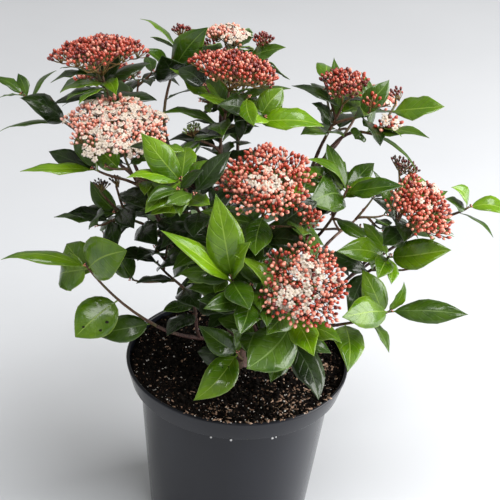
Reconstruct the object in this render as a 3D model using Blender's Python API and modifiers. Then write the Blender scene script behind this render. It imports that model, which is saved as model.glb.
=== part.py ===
"""Potted laurustinus: an evergreen shrub in bud and flower, in a round nursery pot of compost.

The plant rises from one short woody foot that forks into boughs. Every bough ends where its mass
of foliage begins, and a mass is a twig with side shoots, opposite pairs of leaves and, on most, a
flat-domed head of buds. Lengths are metres unless a name or a row says mm. +Z is up, the origin is
the middle of the pot's underside, and -Y is the front of the plant.
"""

import math
import random

import bmesh
import bpy
from mathutils import Matrix, Vector
from mathutils.bvhtree import BVHTree

MM = 0.001
GAP = 0.3 * MM
UP = Vector((0.0, 0.0, 1.0))
SEED = 11

# Pot
RIM_RADIUS = 0.111
POT_HEIGHT = 0.183
POT_WALL = 0.0018
BAND_HEIGHT = 0.023
BAND_FOOT_RADIUS = 0.0995
WALL_TOP_RADIUS = 0.0965
FOOT_RADIUS = 0.0805
FLOOR_THICKNESS = 0.0030
DRAIN_HOLES = 6
DRAIN_RADIUS = 0.0065
DRAIN_CIRCLE = 0.052
POT_SIDES = 40
SOIL_SIDES = 28

# Compost
SOIL_LEVEL = 0.173
SOIL_FLAT_RADIUS = 0.022
SOIL_RIPPLE = 0.0018

# Woody foot
TRUNK_FORK = Vector((3.0, -2.0, 242.0)) * MM
TRUNK_RADIUS = 0.0082
TRUNK_TAPER = 0.12
ROOT_FLARE = 0.0150
TRUNK_RESOLUTION = 3

# Limbs
BOUGH_TAPER = 0.012
TWIG_RADIUS = 0.0022
TWIG_END_RADIUS = 0.0017
BOUGH_STEPS = 6
BEND_HANDLE = 0.36
SPLAY = 0.7
FOLLOW_CARRIER = 0.25
FOLLOW_LEAD = 0.5
CARRY_ON = 0.6
LIFT = 0.3
TRIM_GAP = 1.2 * GAP
LARGEST_SHARE = 0.84
LEADER_SEAT = 3.0 * MM
TWIG_STEPS = 3
FORK_SHARE = 0.8

# Leaves and heads
LEAF_THICKNESS = 0.0014
LEAF_ASPECT = 0.44
LEVELLING = 0.5
LEAF_ROOT_WIDTH = 0.0008
ROOT_SEAT = 0.0003
ROOT_SPREAD = 0.0012
LEAF_ARCH = 0.07
LEAN_TO_TIP = 0.4
LEAN_OUT = 0.5
NAMED_LEAF = [(0.40, 1.0), (0.74, 0.66)]
RULE_LEAF = [(0.45, 1.0)]
PAIR_OPENING = math.radians(58.0)
OPENING_VARIETY = 0.2
MOST_DROOP = 0.2
PAIR_SPACING = 0.030
LOWEST_PAIR = 0.1
PAIR_LEAF = 0.056
SHOOT_LEAF = 0.046
SIDE_SHOOT = 0.036
SHOOT_RANGE = (0.25, 0.80)
SHOOT_PAIRS = (0.45, 0.95)
LEAF_VARIETY = 0.15
BUDDED_SHARE = 0.76
LEAFY_SHARE = 0.93
SUNK_SHARE = 0.22
TURNS_TRIED = [math.radians(turn) for turn in (0.0, 24.0, -24.0, 48.0, -48.0)]
SHORTER = 0.08
PLACES_TRIED = 6
LEAF_CLEARANCE = 1.2 * GAP
TWIG_CLEARANCE = 1.5 * GAP
RAY_RADIUS = 0.0010
HEAD_RAYS = 3
HEAD_SEGMENTS = 10
HEAD_FLATNESS = 0.22
HEAD_UNEVEN = 0.07
SMALL_HEAD = 0.015
SLIVER_ANGLE = math.radians(0.3)


# ---------------------------------------------------------------- the plant, as a gardener reads it

# name, what carries its bough, share of the carrier's length where it leaves, and the end in mm
BOUGHS = [
    ("top", "stem_foot", 1.00, (-30, 0, 405)),
    ("left_white", "stem_foot", 0.78, (-95, -30, 375)),
    ("upper_right", "stem_foot", 0.78, (65, 10, 425)),
    ("centre", "stem_foot", 0.62, (10, -60, 350)),
    ("back", "stem_foot", 0.62, (-15, 70, 395)),
    ("low_left", "stem_foot", 0.46, (-80, -40, 240)),
    ("right_mid", "stem_foot", 0.46, (115, -30, 310)),
    ("front", "stem_foot", 0.36, (45, -100, 275)),
    ("back_low_left", "stem_foot", 0.30, (-55, 70, 285)),
    ("low_centre", "stem_foot", 0.16, (5, -45, 212)),
    ("back_low_right", "stem_foot", 0.20, (85, 70, 285)),
    ("upper_left", "left_white", 0.72, (-125, 10, 425)),
    ("far_left", "upper_left", 0.45, (-172, 15, 420)),
    ("left_mid", "left_white", 0.50, (-90, -18, 335)),
    ("left_inner", "low_left", 0.45, (-50, -35, 275)),
    ("middle_left", "top", 0.20, (-34, 14, 318)),
    ("centre_left", "centre", 0.55, (-45, -80, 395)),
    ("top_back_left", "top", 0.45, (-85, 40, 415)),
    ("top_back", "top", 0.72, (-32, 48, 445)),
    ("upper_right_out", "upper_right", 0.72, (90, 22, 430)),
    ("right_inner", "upper_right", 0.42, (70, -5, 335)),
    ("right_head", "right_mid", 0.62, (135, -15, 340)),
    ("far_right", "right_head", 0.40, (185, 22, 345)),
    ("low_right", "right_mid", 0.36, (95, -42, 258)),
    ("front_centre", "front", 0.50, (12, -98, 290)),
    ("back_left", "back", 0.38, (-110, 72, 395)),
    ("back_right", "back", 0.48, (85, 70, 400)),
]

# One row for each mass of foliage, named after its bough. "end" is the end of its leading twig.
# "shoots" is how many side shoots grow on it by the rule; with none, the row names every leaf.
# A fork is a second named twig: the share of the leading twig where it leaves, and its end.
# A head is (twig, diameter, centre, facing), and a leaf (twig, share of the twig, tip, width).
# Twig 0 leads, twig 1 is the first fork. Sizes and places are mm.
MASSES = {
    "top": dict(
        end=(-25, 0, 474),
        shoots=1,
        forks=[(0.40, (8, -16, 458))],
        heads=[(0, 80, (-20, -2, 497), (0.0, -0.10, 1.0))],
        leaves=[
            (0, 0.80, (-80, 10, 488), 22),
            (0, 0.80, (30, 14, 478), 18),
            (0, 0.42, (-86, -10, 452), 20),
            (0, 0.12, (-80, 12, 412), 22),
            (1, 0.95, (62, -22, 456), 24),
            (1, 0.95, (0, -50, 470), 20),
        ],
    ),
    "left_white": dict(
        end=(-115, -44, 425),
        shoots=1,
        forks=[(0.25, (-140, -55, 414))],
        heads=[(0, 92, (-124, -52, 449), (0.0, -0.38, 1.0))],
        leaves=[
            (0, 0.75, (-82, -40, 428), 16),
            (1, 0.95, (-204, -70, 415), 16),
            (1, 0.88, (-185, -28, 414), 18),
            (1, 0.95, (-136, -108, 424), 18),
        ],
    ),
    "upper_right": dict(
        end=(80, 18, 460),
        shoots=1,
        forks=[(0.45, (104, 6, 460))],
        heads=[(0, 52, (80, 18, 483), (0.0, -0.15, 1.0)), (1, 16, (107, 4, 474), (0.3, -0.3, 1.0))],
        leaves=[
            (0, 0.45, (60, 66, 500), 13),
            (0, 0.62, (34, 0, 485), 15),
            (0, 0.25, (44, -26, 452), 17),
            (1, 0.60, (98, -35, 478), 12),
        ],
    ),
    "centre": dict(
        end=(15, -80, 402),
        shoots=1,
        forks=[(0.45, (48, -84, 388))],
        heads=[(0, 86, (15, -92, 434), (0.0, -0.50, 1.0)), (1, 26, (58, -90, 402), (0.4, -0.4, 1.0))],
        leaves=[
            (0, 0.55, (-32, -92, 398), 22),
            (0, 0.20, (62, -62, 372), 22),
        ],
    ),
    "back": dict(
        end=(-16, 98, 424),
        shoots=2,
        forks=[(0.30, (10, 118, 398))],
        heads=[(0, 74, (-20, 108, 440), (0.0, 0.45, 1.0))],
        leaves=[],
    ),
    "low_left": dict(
        end=(-145, -62, 315),
        shoots=1,
        forks=[],
        heads=[],
        leaves=[
            (0, 0.50, (-152, -84, 250), 36),
            (0, 0.97, (-220, -80, 332), 21),
            (0, 0.97, (-108, -92, 352), 36),
            (0, 0.88, (-172, -28, 326), 26),
            (0, 0.97, (-176, -42, 284), 26),
            (0, 0.05, (-136, -52, 232), 24),
        ],
    ),
    "right_mid": dict(
        end=(134, -42, 338),
        shoots=1,
        forks=[],
        heads=[],
        leaves=[
            (0, 0.95, (188, -62, 352), 26),
            (0, 0.88, (86, -62, 352), 22),
            (0, 0.95, (136, -74, 328), 13),
        ],
    ),
    "front": dict(
        end=(46, -112, 322),
        shoots=1,
        forks=[],
        heads=[(0, 84, (55, -134, 358), (0.12, -0.85, 0.62))],
        leaves=[
            (0, 0.45, (10, -168, 288), 40),
            (0, 0.66, (66, -164, 306), 22),
            (0, 0.08, (76, -152, 248), 28),
            (0, 0.66, (0, -130, 384), 24),
        ],
    ),
    "back_low_left": dict(
        end=(-98, 122, 285),
        shoots=2,
        forks=[(0.30, (-40, 132, 262))],
        heads=[],
        leaves=[],
    ),
    "low_centre": dict(
        end=(0, -88, 250),
        shoots=0,
        forks=[],
        heads=[],
        leaves=[
            (0, 0.88, (-35, -130, 222), 25),
            (0, 0.88, (-36, -90, 276), 20),
            (0, 0.96, (-4, -106, 286), 13),
            (0, 0.50, (-38, -64, 230), 24),
        ],
    ),
    "back_low_right": dict(
        end=(118, 122, 292),
        shoots=2,
        forks=[(0.30, (60, 136, 262))],
        heads=[],
        leaves=[],
    ),
    "upper_left": dict(
        end=(-140, 0, 480),
        shoots=1,
        forks=[],
        heads=[(0, 88, (-143, -2, 503), (-0.05, -0.06, 1.0))],
        leaves=[
            (0, 0.86, (-176, -20, 474), 20),
            (0, 0.86, (-98, 18, 488), 24),
            (0, 0.58, (-186, 2, 455), 20),
            (0, 0.70, (-156, -46, 478), 15),
            (0, 0.58, (-90, -8, 466), 20),
            (0, 0.86, (-124, -38, 482), 14),
        ],
    ),
    "far_left": dict(
        end=(-214, 10, 450),
        shoots=0,
        forks=[],
        heads=[],
        leaves=[
            (0, 0.96, (-244, 20, 462), 11),
            (0, 0.96, (-234, -10, 456), 13),
            (0, 0.50, (-188, 32, 468), 11),
            (0, 0.30, (-216, -24, 446), 26),
            (0, 0.06, (-234, -12, 420), 15),
            (0, 0.90, (-222, 30, 462), 11),
        ],
    ),
    "left_mid": dict(
        end=(-122, -30, 356),
        shoots=1,
        forks=[],
        heads=[],
        leaves=[
            (0, 0.95, (-178, -42, 356), 17),
            (0, 0.70, (-146, -56, 334), 20),
            (0, 0.20, (-82, -70, 352), 24),
            (0, 0.88, (-150, -2, 372), 18),
        ],
    ),
    "left_inner": dict(
        end=(-80, -44, 312),
        shoots=2,
        forks=[],
        heads=[],
        leaves=[
            (0, 0.90, (-118, -60, 330), 22),
            (0, 0.50, (-100, -72, 286), 22),
            (0, 0.90, (-55, -84, 342), 22),
            (0, 0.20, (-40, -84, 296), 22),
        ],
    ),
    "middle_left": dict(
        end=(-78, 18, 350),
        shoots=3,
        forks=[],
        heads=[],
        leaves=[],
    ),
    "centre_left": dict(
        end=(-60, -100, 434),
        shoots=1,
        forks=[],
        heads=[],
        leaves=[
            (0, 0.92, (-92, -112, 480), 22),
            (0, 0.92, (-102, -128, 452), 18),
            (0, 0.80, (-30, -98, 452), 17),
            (0, 0.35, (-74, -128, 418), 15),
            (0, 0.35, (-32, -124, 424), 17),
        ],
    ),
    "top_back_left": dict(
        end=(-76, 70, 486),
        shoots=0,
        forks=[],
        heads=[(0, 22, (-75, 72, 502), (0.0, 0.0, 1.0))],
        leaves=[
            (0, 0.66, (-52, 48, 516), 22),
            (0, 0.92, (-112, 84, 506), 13),
            (0, 0.92, (-102, 58, 498), 13),
            (0, 0.62, (-112, 40, 488), 18),
            (0, 0.20, (-86, 14, 470), 26),
        ],
    ),
    "top_back": dict(
        end=(-26, 76, 480),
        shoots=1,
        forks=[(0.55, (-44, 70, 478)), (0.60, (2, 70, 486))],
        heads=[
            (0, 40, (-28, 82, 496), (0.0, 0.1, 1.0)),
            (1, 20, (-47, 70, 490), (0.0, 0.0, 1.0)),
            (2, 24, (5, 70, 500), (0.0, 0.0, 1.0)),
        ],
        leaves=[
            (0, 0.50, (-14, 40, 500), 22),
            (2, 0.55, (38, 56, 494), 18),
        ],
    ),
    "upper_right_out": dict(
        end=(120, 4, 440),
        shoots=0,
        forks=[(0.60, (130, 36, 456))],
        heads=[(0, 26, (124, -6, 453), (0.2, -0.5, 1.0)), (1, 18, (131, 38, 470), (0.0, 0.0, 1.0))],
        leaves=[
            (1, 0.80, (176, 12, 482), 26),
            (0, 0.60, (162, -26, 448), 15),
            (0, 0.50, (100, 48, 482), 20),
            (0, 0.35, (122, -20, 428), 14),
        ],
    ),
    "right_inner": dict(
        end=(90, -22, 395),
        shoots=2,
        forks=[(0.35, (104, -14, 352))],
        heads=[],
        leaves=[
            (0, 0.92, (138, -40, 414), 18),
            (0, 0.70, (56, -60, 398), 26),
            (0, 0.96, (66, -34, 432), 14),
            (0, 0.86, (114, 8, 410), 16),
        ],
    ),
    "right_head": dict(
        end=(150, -28, 368),
        shoots=1,
        forks=[(0.30, (140, 12, 390))],
        heads=[(0, 72, (158, -40, 390), (0.30, -0.45, 1.0)), (1, 26, (140, 18, 405), (0.0, 0.0, 1.0))],
        leaves=[
            (0, 0.30, (116, -28, 392), 17),
            (1, 0.70, (190, 8, 402), 18),
        ],
    ),
    "far_right": dict(
        end=(210, 20, 362),
        shoots=0,
        forks=[],
        heads=[],
        leaves=[
            (0, 0.96, (250, 18, 366), 16),
            (0, 0.90, (196, 4, 390), 12),
            (0, 0.60, (234, -6, 350), 12),
        ],
    ),
    "low_right": dict(
        end=(140, -52, 284),
        shoots=0,
        forks=[],
        heads=[],
        leaves=[
            (0, 0.96, (212, -62, 293), 21),
            (0, 0.88, (112, -56, 328), 20),
            (0, 0.80, (92, -104, 292), 28),
            (0, 0.96, (152, -50, 314), 14),
            (0, 0.60, (142, -84, 262), 14),
            (0, 0.10, (104, -112, 258), 26),
        ],
    ),
    "front_centre": dict(
        end=(-10, -118, 350),
        shoots=2,
        forks=[],
        heads=[],
        leaves=[
            (0, 0.96, (-26, -122, 430), 32),
            (0, 0.88, (-70, -140, 406), 20),
            (0, 0.90, (4, -130, 394), 18),
            (0, 0.30, (-38, -142, 338), 24),
        ],
    ),
    "back_left": dict(
        end=(-138, 92, 420),
        shoots=2,
        forks=[(0.30, (-100, 108, 388))],
        heads=[(0, 70, (-146, 96, 438), (-0.20, 0.25, 1.0))],
        leaves=[],
    ),
    "back_right": dict(
        end=(100, 92, 420),
        shoots=2,
        forks=[(0.30, (72, 112, 386))],
        heads=[(0, 72, (104, 94, 438), (0.15, 0.25, 1.0))],
        leaves=[],
    ),
}


# ---------------------------------------------------------------- workshop

plant = bpy.data.collections.new("potted_laurustinus")
cutters = bpy.data.collections.new("cutters")


def clear_scene():
    for leftover in list(bpy.data.objects):
        bpy.data.objects.remove(leftover, do_unlink=True)
    bpy.context.scene.collection.children.link(plant)
    bpy.context.scene.collection.children.link(cutters)


def finish_of(name, colour, roughness):
    """A Principled material in one plain colour."""
    material = bpy.data.materials.new(name)
    material.use_nodes = True
    shader = material.node_tree.nodes["Principled BSDF"]
    shader.inputs["Base Color"].default_value = (*colour, 1.0)
    shader.inputs["Roughness"].default_value = roughness
    shader.inputs["Metallic"].default_value = 0.0
    return material


def add_piece(name, mesh, material, home=plant):
    piece = bpy.data.objects.new(name, mesh)
    mesh.materials.clear()
    mesh.materials.append(material)
    home.objects.link(piece)
    return piece


def mark_as_cutter(piece):
    piece.hide_render = True
    piece.display_type = "WIRE"
    return piece


def settle(piece):
    """Replaces a piece's mesh by what its modifiers make of it."""
    depsgraph = bpy.context.evaluated_depsgraph_get()
    mesh = bpy.data.meshes.new_from_object(piece.evaluated_get(depsgraph))
    mesh.name = piece.name
    piece.modifiers.clear()
    piece.data = mesh
    return piece


def mesh_from(name, shape):
    """Turns a bmesh into a mesh with its faces pointing out."""
    bmesh.ops.recalc_face_normals(shape, faces=shape.faces)
    mesh = bpy.data.meshes.new(name)
    shape.to_mesh(mesh)
    shape.free()
    return mesh


def turned(name, outline, steps, material):
    """Swings a profile of (radius, height) points once round the Z axis."""
    mesh = bpy.data.meshes.new(name)
    points = [(radius, 0.0, height) for radius, height in outline]
    edges = [(i, i + 1) for i in range(len(points) - 1)]
    mesh.from_pydata(points, edges, [])
    piece = add_piece(name, mesh, material)
    turn = piece.modifiers.new("turn", "SCREW")
    turn.angle = 2.0 * math.pi
    turn.steps = steps
    turn.render_steps = steps
    turn.use_merge_vertices = True
    turn.merge_threshold = 0.0001
    return piece


# ---------------------------------------------------------------- pot and compost


def inner_outline():
    """The pot's inner side as (radius, height) points: floor edge, wall, then the flaring band."""
    band_foot = POT_HEIGHT - BAND_HEIGHT
    wall_foot = FOOT_RADIUS - POT_WALL
    return [
        (wall_foot, FLOOR_THICKNESS),
        (WALL_TOP_RADIUS - POT_WALL, band_foot),
        (BAND_FOOT_RADIUS - POT_WALL, band_foot + 2.0 * POT_WALL),
        (RIM_RADIUS - 1.8 * POT_WALL, POT_HEIGHT - 2.0 * POT_WALL),
    ]


def inner_radius(height):
    """Radius of the pot's inner side at a height."""
    outline = inner_outline()
    for (low_radius, low), (high_radius, high) in zip(outline, outline[1:]):
        if height <= high:
            break
    return low_radius + (high_radius - low_radius) * (height - low) / (high - low)


def make_pot(material):
    band_foot = POT_HEIGHT - BAND_HEIGHT
    outline = [
        (0.0, FLOOR_THICKNESS),
        *inner_outline(),
        (RIM_RADIUS - 1.6 * POT_WALL, POT_HEIGHT - 0.3 * POT_WALL),
        (RIM_RADIUS - 1.0 * POT_WALL, POT_HEIGHT),
        (RIM_RADIUS - 0.2 * POT_WALL, POT_HEIGHT - 0.5 * POT_WALL),
        (RIM_RADIUS, POT_HEIGHT - 1.6 * POT_WALL),
        (BAND_FOOT_RADIUS + 0.3 * POT_WALL, band_foot + 0.8 * POT_WALL),
        (BAND_FOOT_RADIUS, band_foot),
        (WALL_TOP_RADIUS, band_foot - 0.6 * POT_WALL),
        (FOOT_RADIUS + 1.2 * MM, 12.0 * MM),
        (FOOT_RADIUS, 2.5 * MM),
        (FOOT_RADIUS - 2.0 * MM, 0.0),
        (0.0, 0.0),
    ]
    pot = turned("pot", outline, POT_SIDES, material)
    drill = bmesh.new()
    for i in range(DRAIN_HOLES):
        angle = 2.0 * math.pi * i / DRAIN_HOLES
        place = Vector((math.cos(angle), math.sin(angle), 0.0)) * DRAIN_CIRCLE
        bmesh.ops.create_cone(
            drill, cap_ends=True, segments=10, radius1=DRAIN_RADIUS, radius2=DRAIN_RADIUS,
            depth=6.0 * FLOOR_THICKNESS, matrix=Matrix.Translation(place),
        )
    drills = mark_as_cutter(add_piece("drain_drills", mesh_from("drain_drills", drill), material, cutters))
    cut = pot.modifiers.new("drain_holes", "BOOLEAN")
    cut.operation = "DIFFERENCE"
    cut.object = drills
    settle(pot)
    return pot


def make_compost(material):
    """The potful of compost, from the floor nearly to the rim, a little uneven on top."""
    heights = [SOIL_LEVEL - 1.0 * MM] + [height for _, height in reversed(inner_outline()[:3])]
    outline = [(radius, SOIL_LEVEL) for radius in (0.0, SOIL_FLAT_RADIUS, 0.050, 0.078)]
    outline += [(inner_radius(height) - 3.0 * GAP, height + GAP) for height in heights]
    outline.append((0.0, FLOOR_THICKNESS + GAP))
    compost = settle(turned("compost", outline, SOIL_SIDES, material))
    for vertex in compost.data.vertices:
        radius = math.hypot(vertex.co.x, vertex.co.y)
        if vertex.co.z > SOIL_LEVEL - 0.5 * MM and radius > 1.5 * SOIL_FLAT_RADIUS:
            wave = math.sin(61.0 * vertex.co.x + 1.0) * math.cos(47.0 * vertex.co.y)
            vertex.co.z += SOIL_RIPPLE * wave
    return compost


# ---------------------------------------------------------------- limbs


def curve_between(start, heading, end, end_heading, steps):
    """Points on one smooth bend that leaves and arrives along the two headings."""
    reach = BEND_HANDLE * (end - start).length
    near = start + heading.normalized() * reach
    far = end - end_heading.normalized() * reach
    points = []
    for i in range(steps + 1):
        t = i / steps
        s = 1.0 - t
        points.append(s**3 * start + 3 * s * s * t * near + 3 * s * t * t * far + t**3 * end)
    return points


def along(points, share):
    """The point and the heading at a share of a limb's steps."""
    place = min(max(share, 0.0), 1.0) * (len(points) - 1)
    i = min(int(place), len(points) - 2)
    step = points[i + 1] - points[i]
    return points[i] + step * (place - i), step.normalized()


def taper(first, last, count):
    return [first + (last - first) * i / (count - 1) for i in range(count)]


def round_limb(name, points, radii, resolution, material, home=plant):
    """A tapering limb with flat ends, as a curve with a bevel that is then made a mesh."""
    curve = bpy.data.curves.new(name, "CURVE")
    curve.dimensions = "3D"
    curve.bevel_depth = MM
    curve.bevel_resolution = resolution
    curve.use_fill_caps = True
    spline = curve.splines.new("POLY")
    spline.points.add(len(points) - 1)
    for i, point in enumerate(points):
        spline.points[i].co = (*point, 1.0)
        spline.points[i].radius = radii[i] / MM
    guide = bpy.data.objects.new(name + "_curve", curve)
    home.objects.link(guide)
    depsgraph = bpy.context.evaluated_depsgraph_get()
    mesh = bpy.data.meshes.new_from_object(guide.evaluated_get(depsgraph))
    bpy.data.objects.remove(guide)
    shape = bmesh.new()
    shape.from_mesh(mesh)
    bmesh.ops.remove_doubles(shape, verts=shape.verts, dist=1.0e-6)
    shape.to_mesh(mesh)
    shape.free()
    mesh.name = name
    return add_piece(name, mesh, material, home)


def foot_course():
    """Points and radii of the woody foot, which leans a little and flares where it meets the compost."""
    base = Vector((0.0, 0.0, SOIL_LEVEL + GAP))
    lift = TRUNK_FORK - base
    shares = [0.0, 0.06, 0.16, 0.32, 0.56, 0.80, 1.0]
    flare = [1.0, 0.55, 0.22, 0.06, 0.0, 0.0, 0.0]
    points = [base + Vector((lift.x * s * s, lift.y * s * s, lift.z * s)) for s in shares]
    radii = [
        TRUNK_RADIUS * (1.0 - TRUNK_TAPER * share) + (ROOT_FLARE - TRUNK_RADIUS) * fullness
        for share, fullness in zip(shares, flare)
    ]
    return points, radii


FOOT_POINTS, FOOT_RADII = foot_course()


def make_boughs(material):
    """Every bough, trimmed clear of the limb that carries it. Returns each one's points by name."""
    paths = {"stem_foot": FOOT_POINTS}
    thickness = {"stem_foot": FOOT_RADII}
    sides = {"stem_foot": TRUNK_RESOLUTION}
    trimmers = {}
    for name, carrier, share, end_mm in BOUGHS:
        start, carrier_heading = along(paths[carrier], share)
        end = Vector(end_mm) * MM
        aim = (end - start).normalized()
        shoot = (Vector(MASSES[name]["end"]) * MM - end).normalized()
        outward = Vector((aim.x, aim.y, 0.0)).normalized()
        leaving = aim + (SPLAY * outward if carrier == "stem_foot" else FOLLOW_CARRIER * carrier_heading)
        points = []
        if share == 1.0:
            points.append(start + carrier_heading * GAP)
            start = start + carrier_heading * LEADER_SEAT
            leaving = carrier_heading
        points += curve_between(start, leaving, end, shoot + CARRY_ON * aim, BOUGH_STEPS)
        place = int(share * (len(thickness[carrier]) - 1))
        foot_radius = TWIG_RADIUS + BOUGH_TAPER * (end - start).length
        foot_radius = min(foot_radius, LARGEST_SHARE * thickness[carrier][place])
        radii = taper(foot_radius, TWIG_RADIUS, len(points))
        bough = round_limb(name + "_bough", points, radii, 1, material)
        if share < 1.0:
            if carrier not in trimmers:
                trimmers[carrier] = mark_as_cutter(round_limb(
                    carrier + "_trimmer", paths[carrier], [radius + TRIM_GAP for radius in thickness[carrier]],
                    sides[carrier], material, cutters,
                ))
            trim = bough.modifiers.new("trim", "BOOLEAN")
            trim.operation = "DIFFERENCE"
            trim.object = trimmers[carrier]
            settle(bough)
        paths[name] = points
        thickness[name] = radii
        sides[name] = 1
    return paths


# ---------------------------------------------------------------- twigs, leaves and heads


def across(heading):
    """A direction that is never along the heading: up, or the plant's back for an upright heading."""
    return UP if abs(heading.z) < 0.9 else Vector((0.0, 1.0, 0.0))


def frame_of(heading, up):
    """Side and upper directions square to a heading."""
    side = heading.cross(up).normalized()
    return side, side.cross(heading).normalized()


def loft(sections):
    """A closed solid through three-cornered sections. The last one may be a single point."""
    shape = bmesh.new()
    rings = [[shape.verts.new(corner) for corner in section] for section in sections]
    shape.faces.new(rings[0])
    for ring, after in zip(rings, rings[1:]):
        for i in range(3):
            j = (i + 1) % 3
            if len(after) == 1:
                shape.faces.new((ring[i], ring[j], after[0]))
            else:
                shape.faces.new((ring[i], ring[j], after[j], after[i]))
    if len(rings[-1]) == 3:
        shape.faces.new(rings[-1])
    bmesh.ops.triangulate(shape, faces=shape.faces)
    return shape


def twig_shape(points, radii, start_heading=None):
    """A three-sided twig."""
    sections = []
    for i, (point, radius) in enumerate(zip(points, radii)):
        before = points[max(i - 1, 0)]
        after = points[min(i + 1, len(points) - 1)]
        heading = (after - before).normalized()
        if i == 0 and start_heading is not None:
            heading = start_heading
        side, upper = frame_of(heading, across(heading))
        corners = []
        for k in range(3):
            angle = 2.0 * math.pi * k / 3.0
            corners.append(point + radius * (math.cos(angle) * side + math.sin(angle) * upper))
        sections.append(corners)
    return loft(sections)


def leaf_shape(root, tip, up, width, stations, swell=0.0, first=0.0):
    """One leaf: a keeled blade that arches from its root to its point.

    stations are (share of its length, share of its full width) beyond the root. swell thickens it
    all round, and first leaves out that share of its length at the root.
    """
    length = (tip - root).length
    heading = (tip - root).normalized()
    side, upper = frame_of(heading, up)
    sections = []
    for share, fullness in [(first, 0.0), *stations]:
        half = max(0.5 * width * fullness, 0.5 * LEAF_ROOT_WIDTH) + swell
        rise = LEAF_ARCH * length * 4.0 * share * (1.0 - share)
        middle = root + heading * (length * share) + upper * rise
        deep = LEAF_THICKNESS * (1.0 if fullness else 0.4) + swell
        high = 0.25 * LEAF_THICKNESS + swell
        sections.append([middle + side * half + upper * high, middle - side * half + upper * high,
                         middle - upper * deep])
    sections.append([tip + heading * swell])
    return loft(sections)


def dome_shape(centre, axis, radius, chance):
    """A flat-domed head of buds, as one low dome with an uneven edge."""
    shape = bmesh.new()
    turn = axis.to_track_quat("Z", "Y").to_matrix().to_4x4()
    segments = HEAD_SEGMENTS if radius > SMALL_HEAD else 6
    bmesh.ops.create_uvsphere(shape, u_segments=segments, v_segments=4, radius=1.0)
    lobes = [1.0 + chance.uniform(-HEAD_UNEVEN, HEAD_UNEVEN) for _ in range(segments)]
    thick = HEAD_FLATNESS if radius > SMALL_HEAD else 0.7
    for vertex in shape.verts:
        around = math.atan2(vertex.co.y, vertex.co.x) / (2.0 * math.pi) * segments
        lobe = lobes[round(around) % segments]
        vertex.co = Vector((vertex.co.x * lobe, vertex.co.y * lobe, vertex.co.z * thick)) * radius
    bmesh.ops.transform(shape, matrix=Matrix.Translation(centre) @ turn, verts=shape.verts)
    bmesh.ops.triangulate(shape, faces=shape.faces)
    return shape


def ray_shapes(foot, centre, axis, radius):
    """The stalks that spread from a twig's end into the underside of its head."""
    side, upper = frame_of(axis, Vector((0.0, 1.0, 0.0)))
    shapes = []
    count = HEAD_RAYS if radius > SMALL_HEAD else 1
    for k in range(count):
        angle = 2.0 * math.pi * k / count
        out = math.cos(angle) * side + math.sin(angle) * upper
        spread = 0.0 if count == 1 else 1.0
        root = foot + spread * 0.45 * TWIG_END_RADIUS * out
        place = centre + spread * 0.5 * radius * out
        inside = root - (place - root).normalized() * TWIG_END_RADIUS
        shapes.append(twig_shape([inside, place], [0.4 * RAY_RADIUS, RAY_RADIUS]))
    return shapes


class Thicket:
    """Everything that already stands, so that nothing new is grown into it."""

    def __init__(self):
        self.standing = []

    def add(self, owner, whole, free_part=None):
        """free_part is what is left of the piece past the root that is sunk in its own mass."""
        whole_tree = BVHTree.FromBMesh(whole)
        free_tree = BVHTree.FromBMesh(free_part) if free_part else whole_tree
        self.standing.append((owner, whole_tree, free_tree))

    def is_clear(self, owner, whole, free_part):
        """The whole piece clears other owners, and the part beyond its root clears its own mass."""
        whole_tree = BVHTree.FromBMesh(whole)
        free_tree = BVHTree.FromBMesh(free_part)
        for other, other_whole, other_free in self.standing:
            touches = free_tree.overlap(other_free) if other == owner else whole_tree.overlap(other_whole)
            if touches:
                return False
        return True


def upward(root, twig_heading):
    """The way a leaf's upper face looks: up and out to the light, and a little to the twig's tip."""
    outward = Vector((root.x, root.y, 0.0)).normalized()
    return UP + LEAN_TO_TIP * twig_heading + LEAN_OUT * outward


def try_leaf(thicket, name, pieces, root, tip, up, width, stations):
    """Adds a leaf, its root sunk nearly to the twig's axis, unless it would touch what stands already."""
    root = root + (tip - root).normalized() * ROOT_SEAT
    whole = leaf_shape(root, tip, up, width, stations, swell=LEAF_CLEARANCE)
    blade = leaf_shape(root, tip, up, width, stations, swell=LEAF_CLEARANCE, first=SUNK_SHARE)
    fits = thicket.is_clear(name, whole, blade)
    if fits:
        thicket.add(name, whole, blade)
        pieces.append(leaf_shape(root, tip, up, width, stations))
    whole.free()
    blade.free()
    return fits


def try_twig(thicket, name, pieces, points, radii):
    """Adds a side twig unless it would touch what stands already."""
    fat = [radius + TWIG_CLEARANCE for radius in radii]
    whole = twig_shape(points, fat)
    free_part = twig_shape(points[1:], fat[1:])
    fits = thicket.is_clear(name, whole, free_part)
    if fits:
        thicket.add(name, whole, free_part)
        pieces.append(twig_shape(points, radii))
    whole.free()
    free_part.free()
    return fits


def lead_twigs(name, row, bough):
    """The leading twig and the named forks of a mass, each as points."""
    tip, heading = along(bough, 1.0)
    start = tip + heading * GAP
    end = Vector(row["end"]) * MM
    lead = curve_between(start, heading, end, (end - start).normalized() + LIFT * UP, TWIG_STEPS)
    twigs = [lead]
    for share, fork_end in row["forks"]:
        root, along_lead = along(lead, share)
        end = Vector(fork_end) * MM
        aim = (end - root).normalized()
        twigs.append(curve_between(root, aim + FOLLOW_LEAD * along_lead, end, aim + LIFT * UP, TWIG_STEPS))
    return heading, twigs


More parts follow.
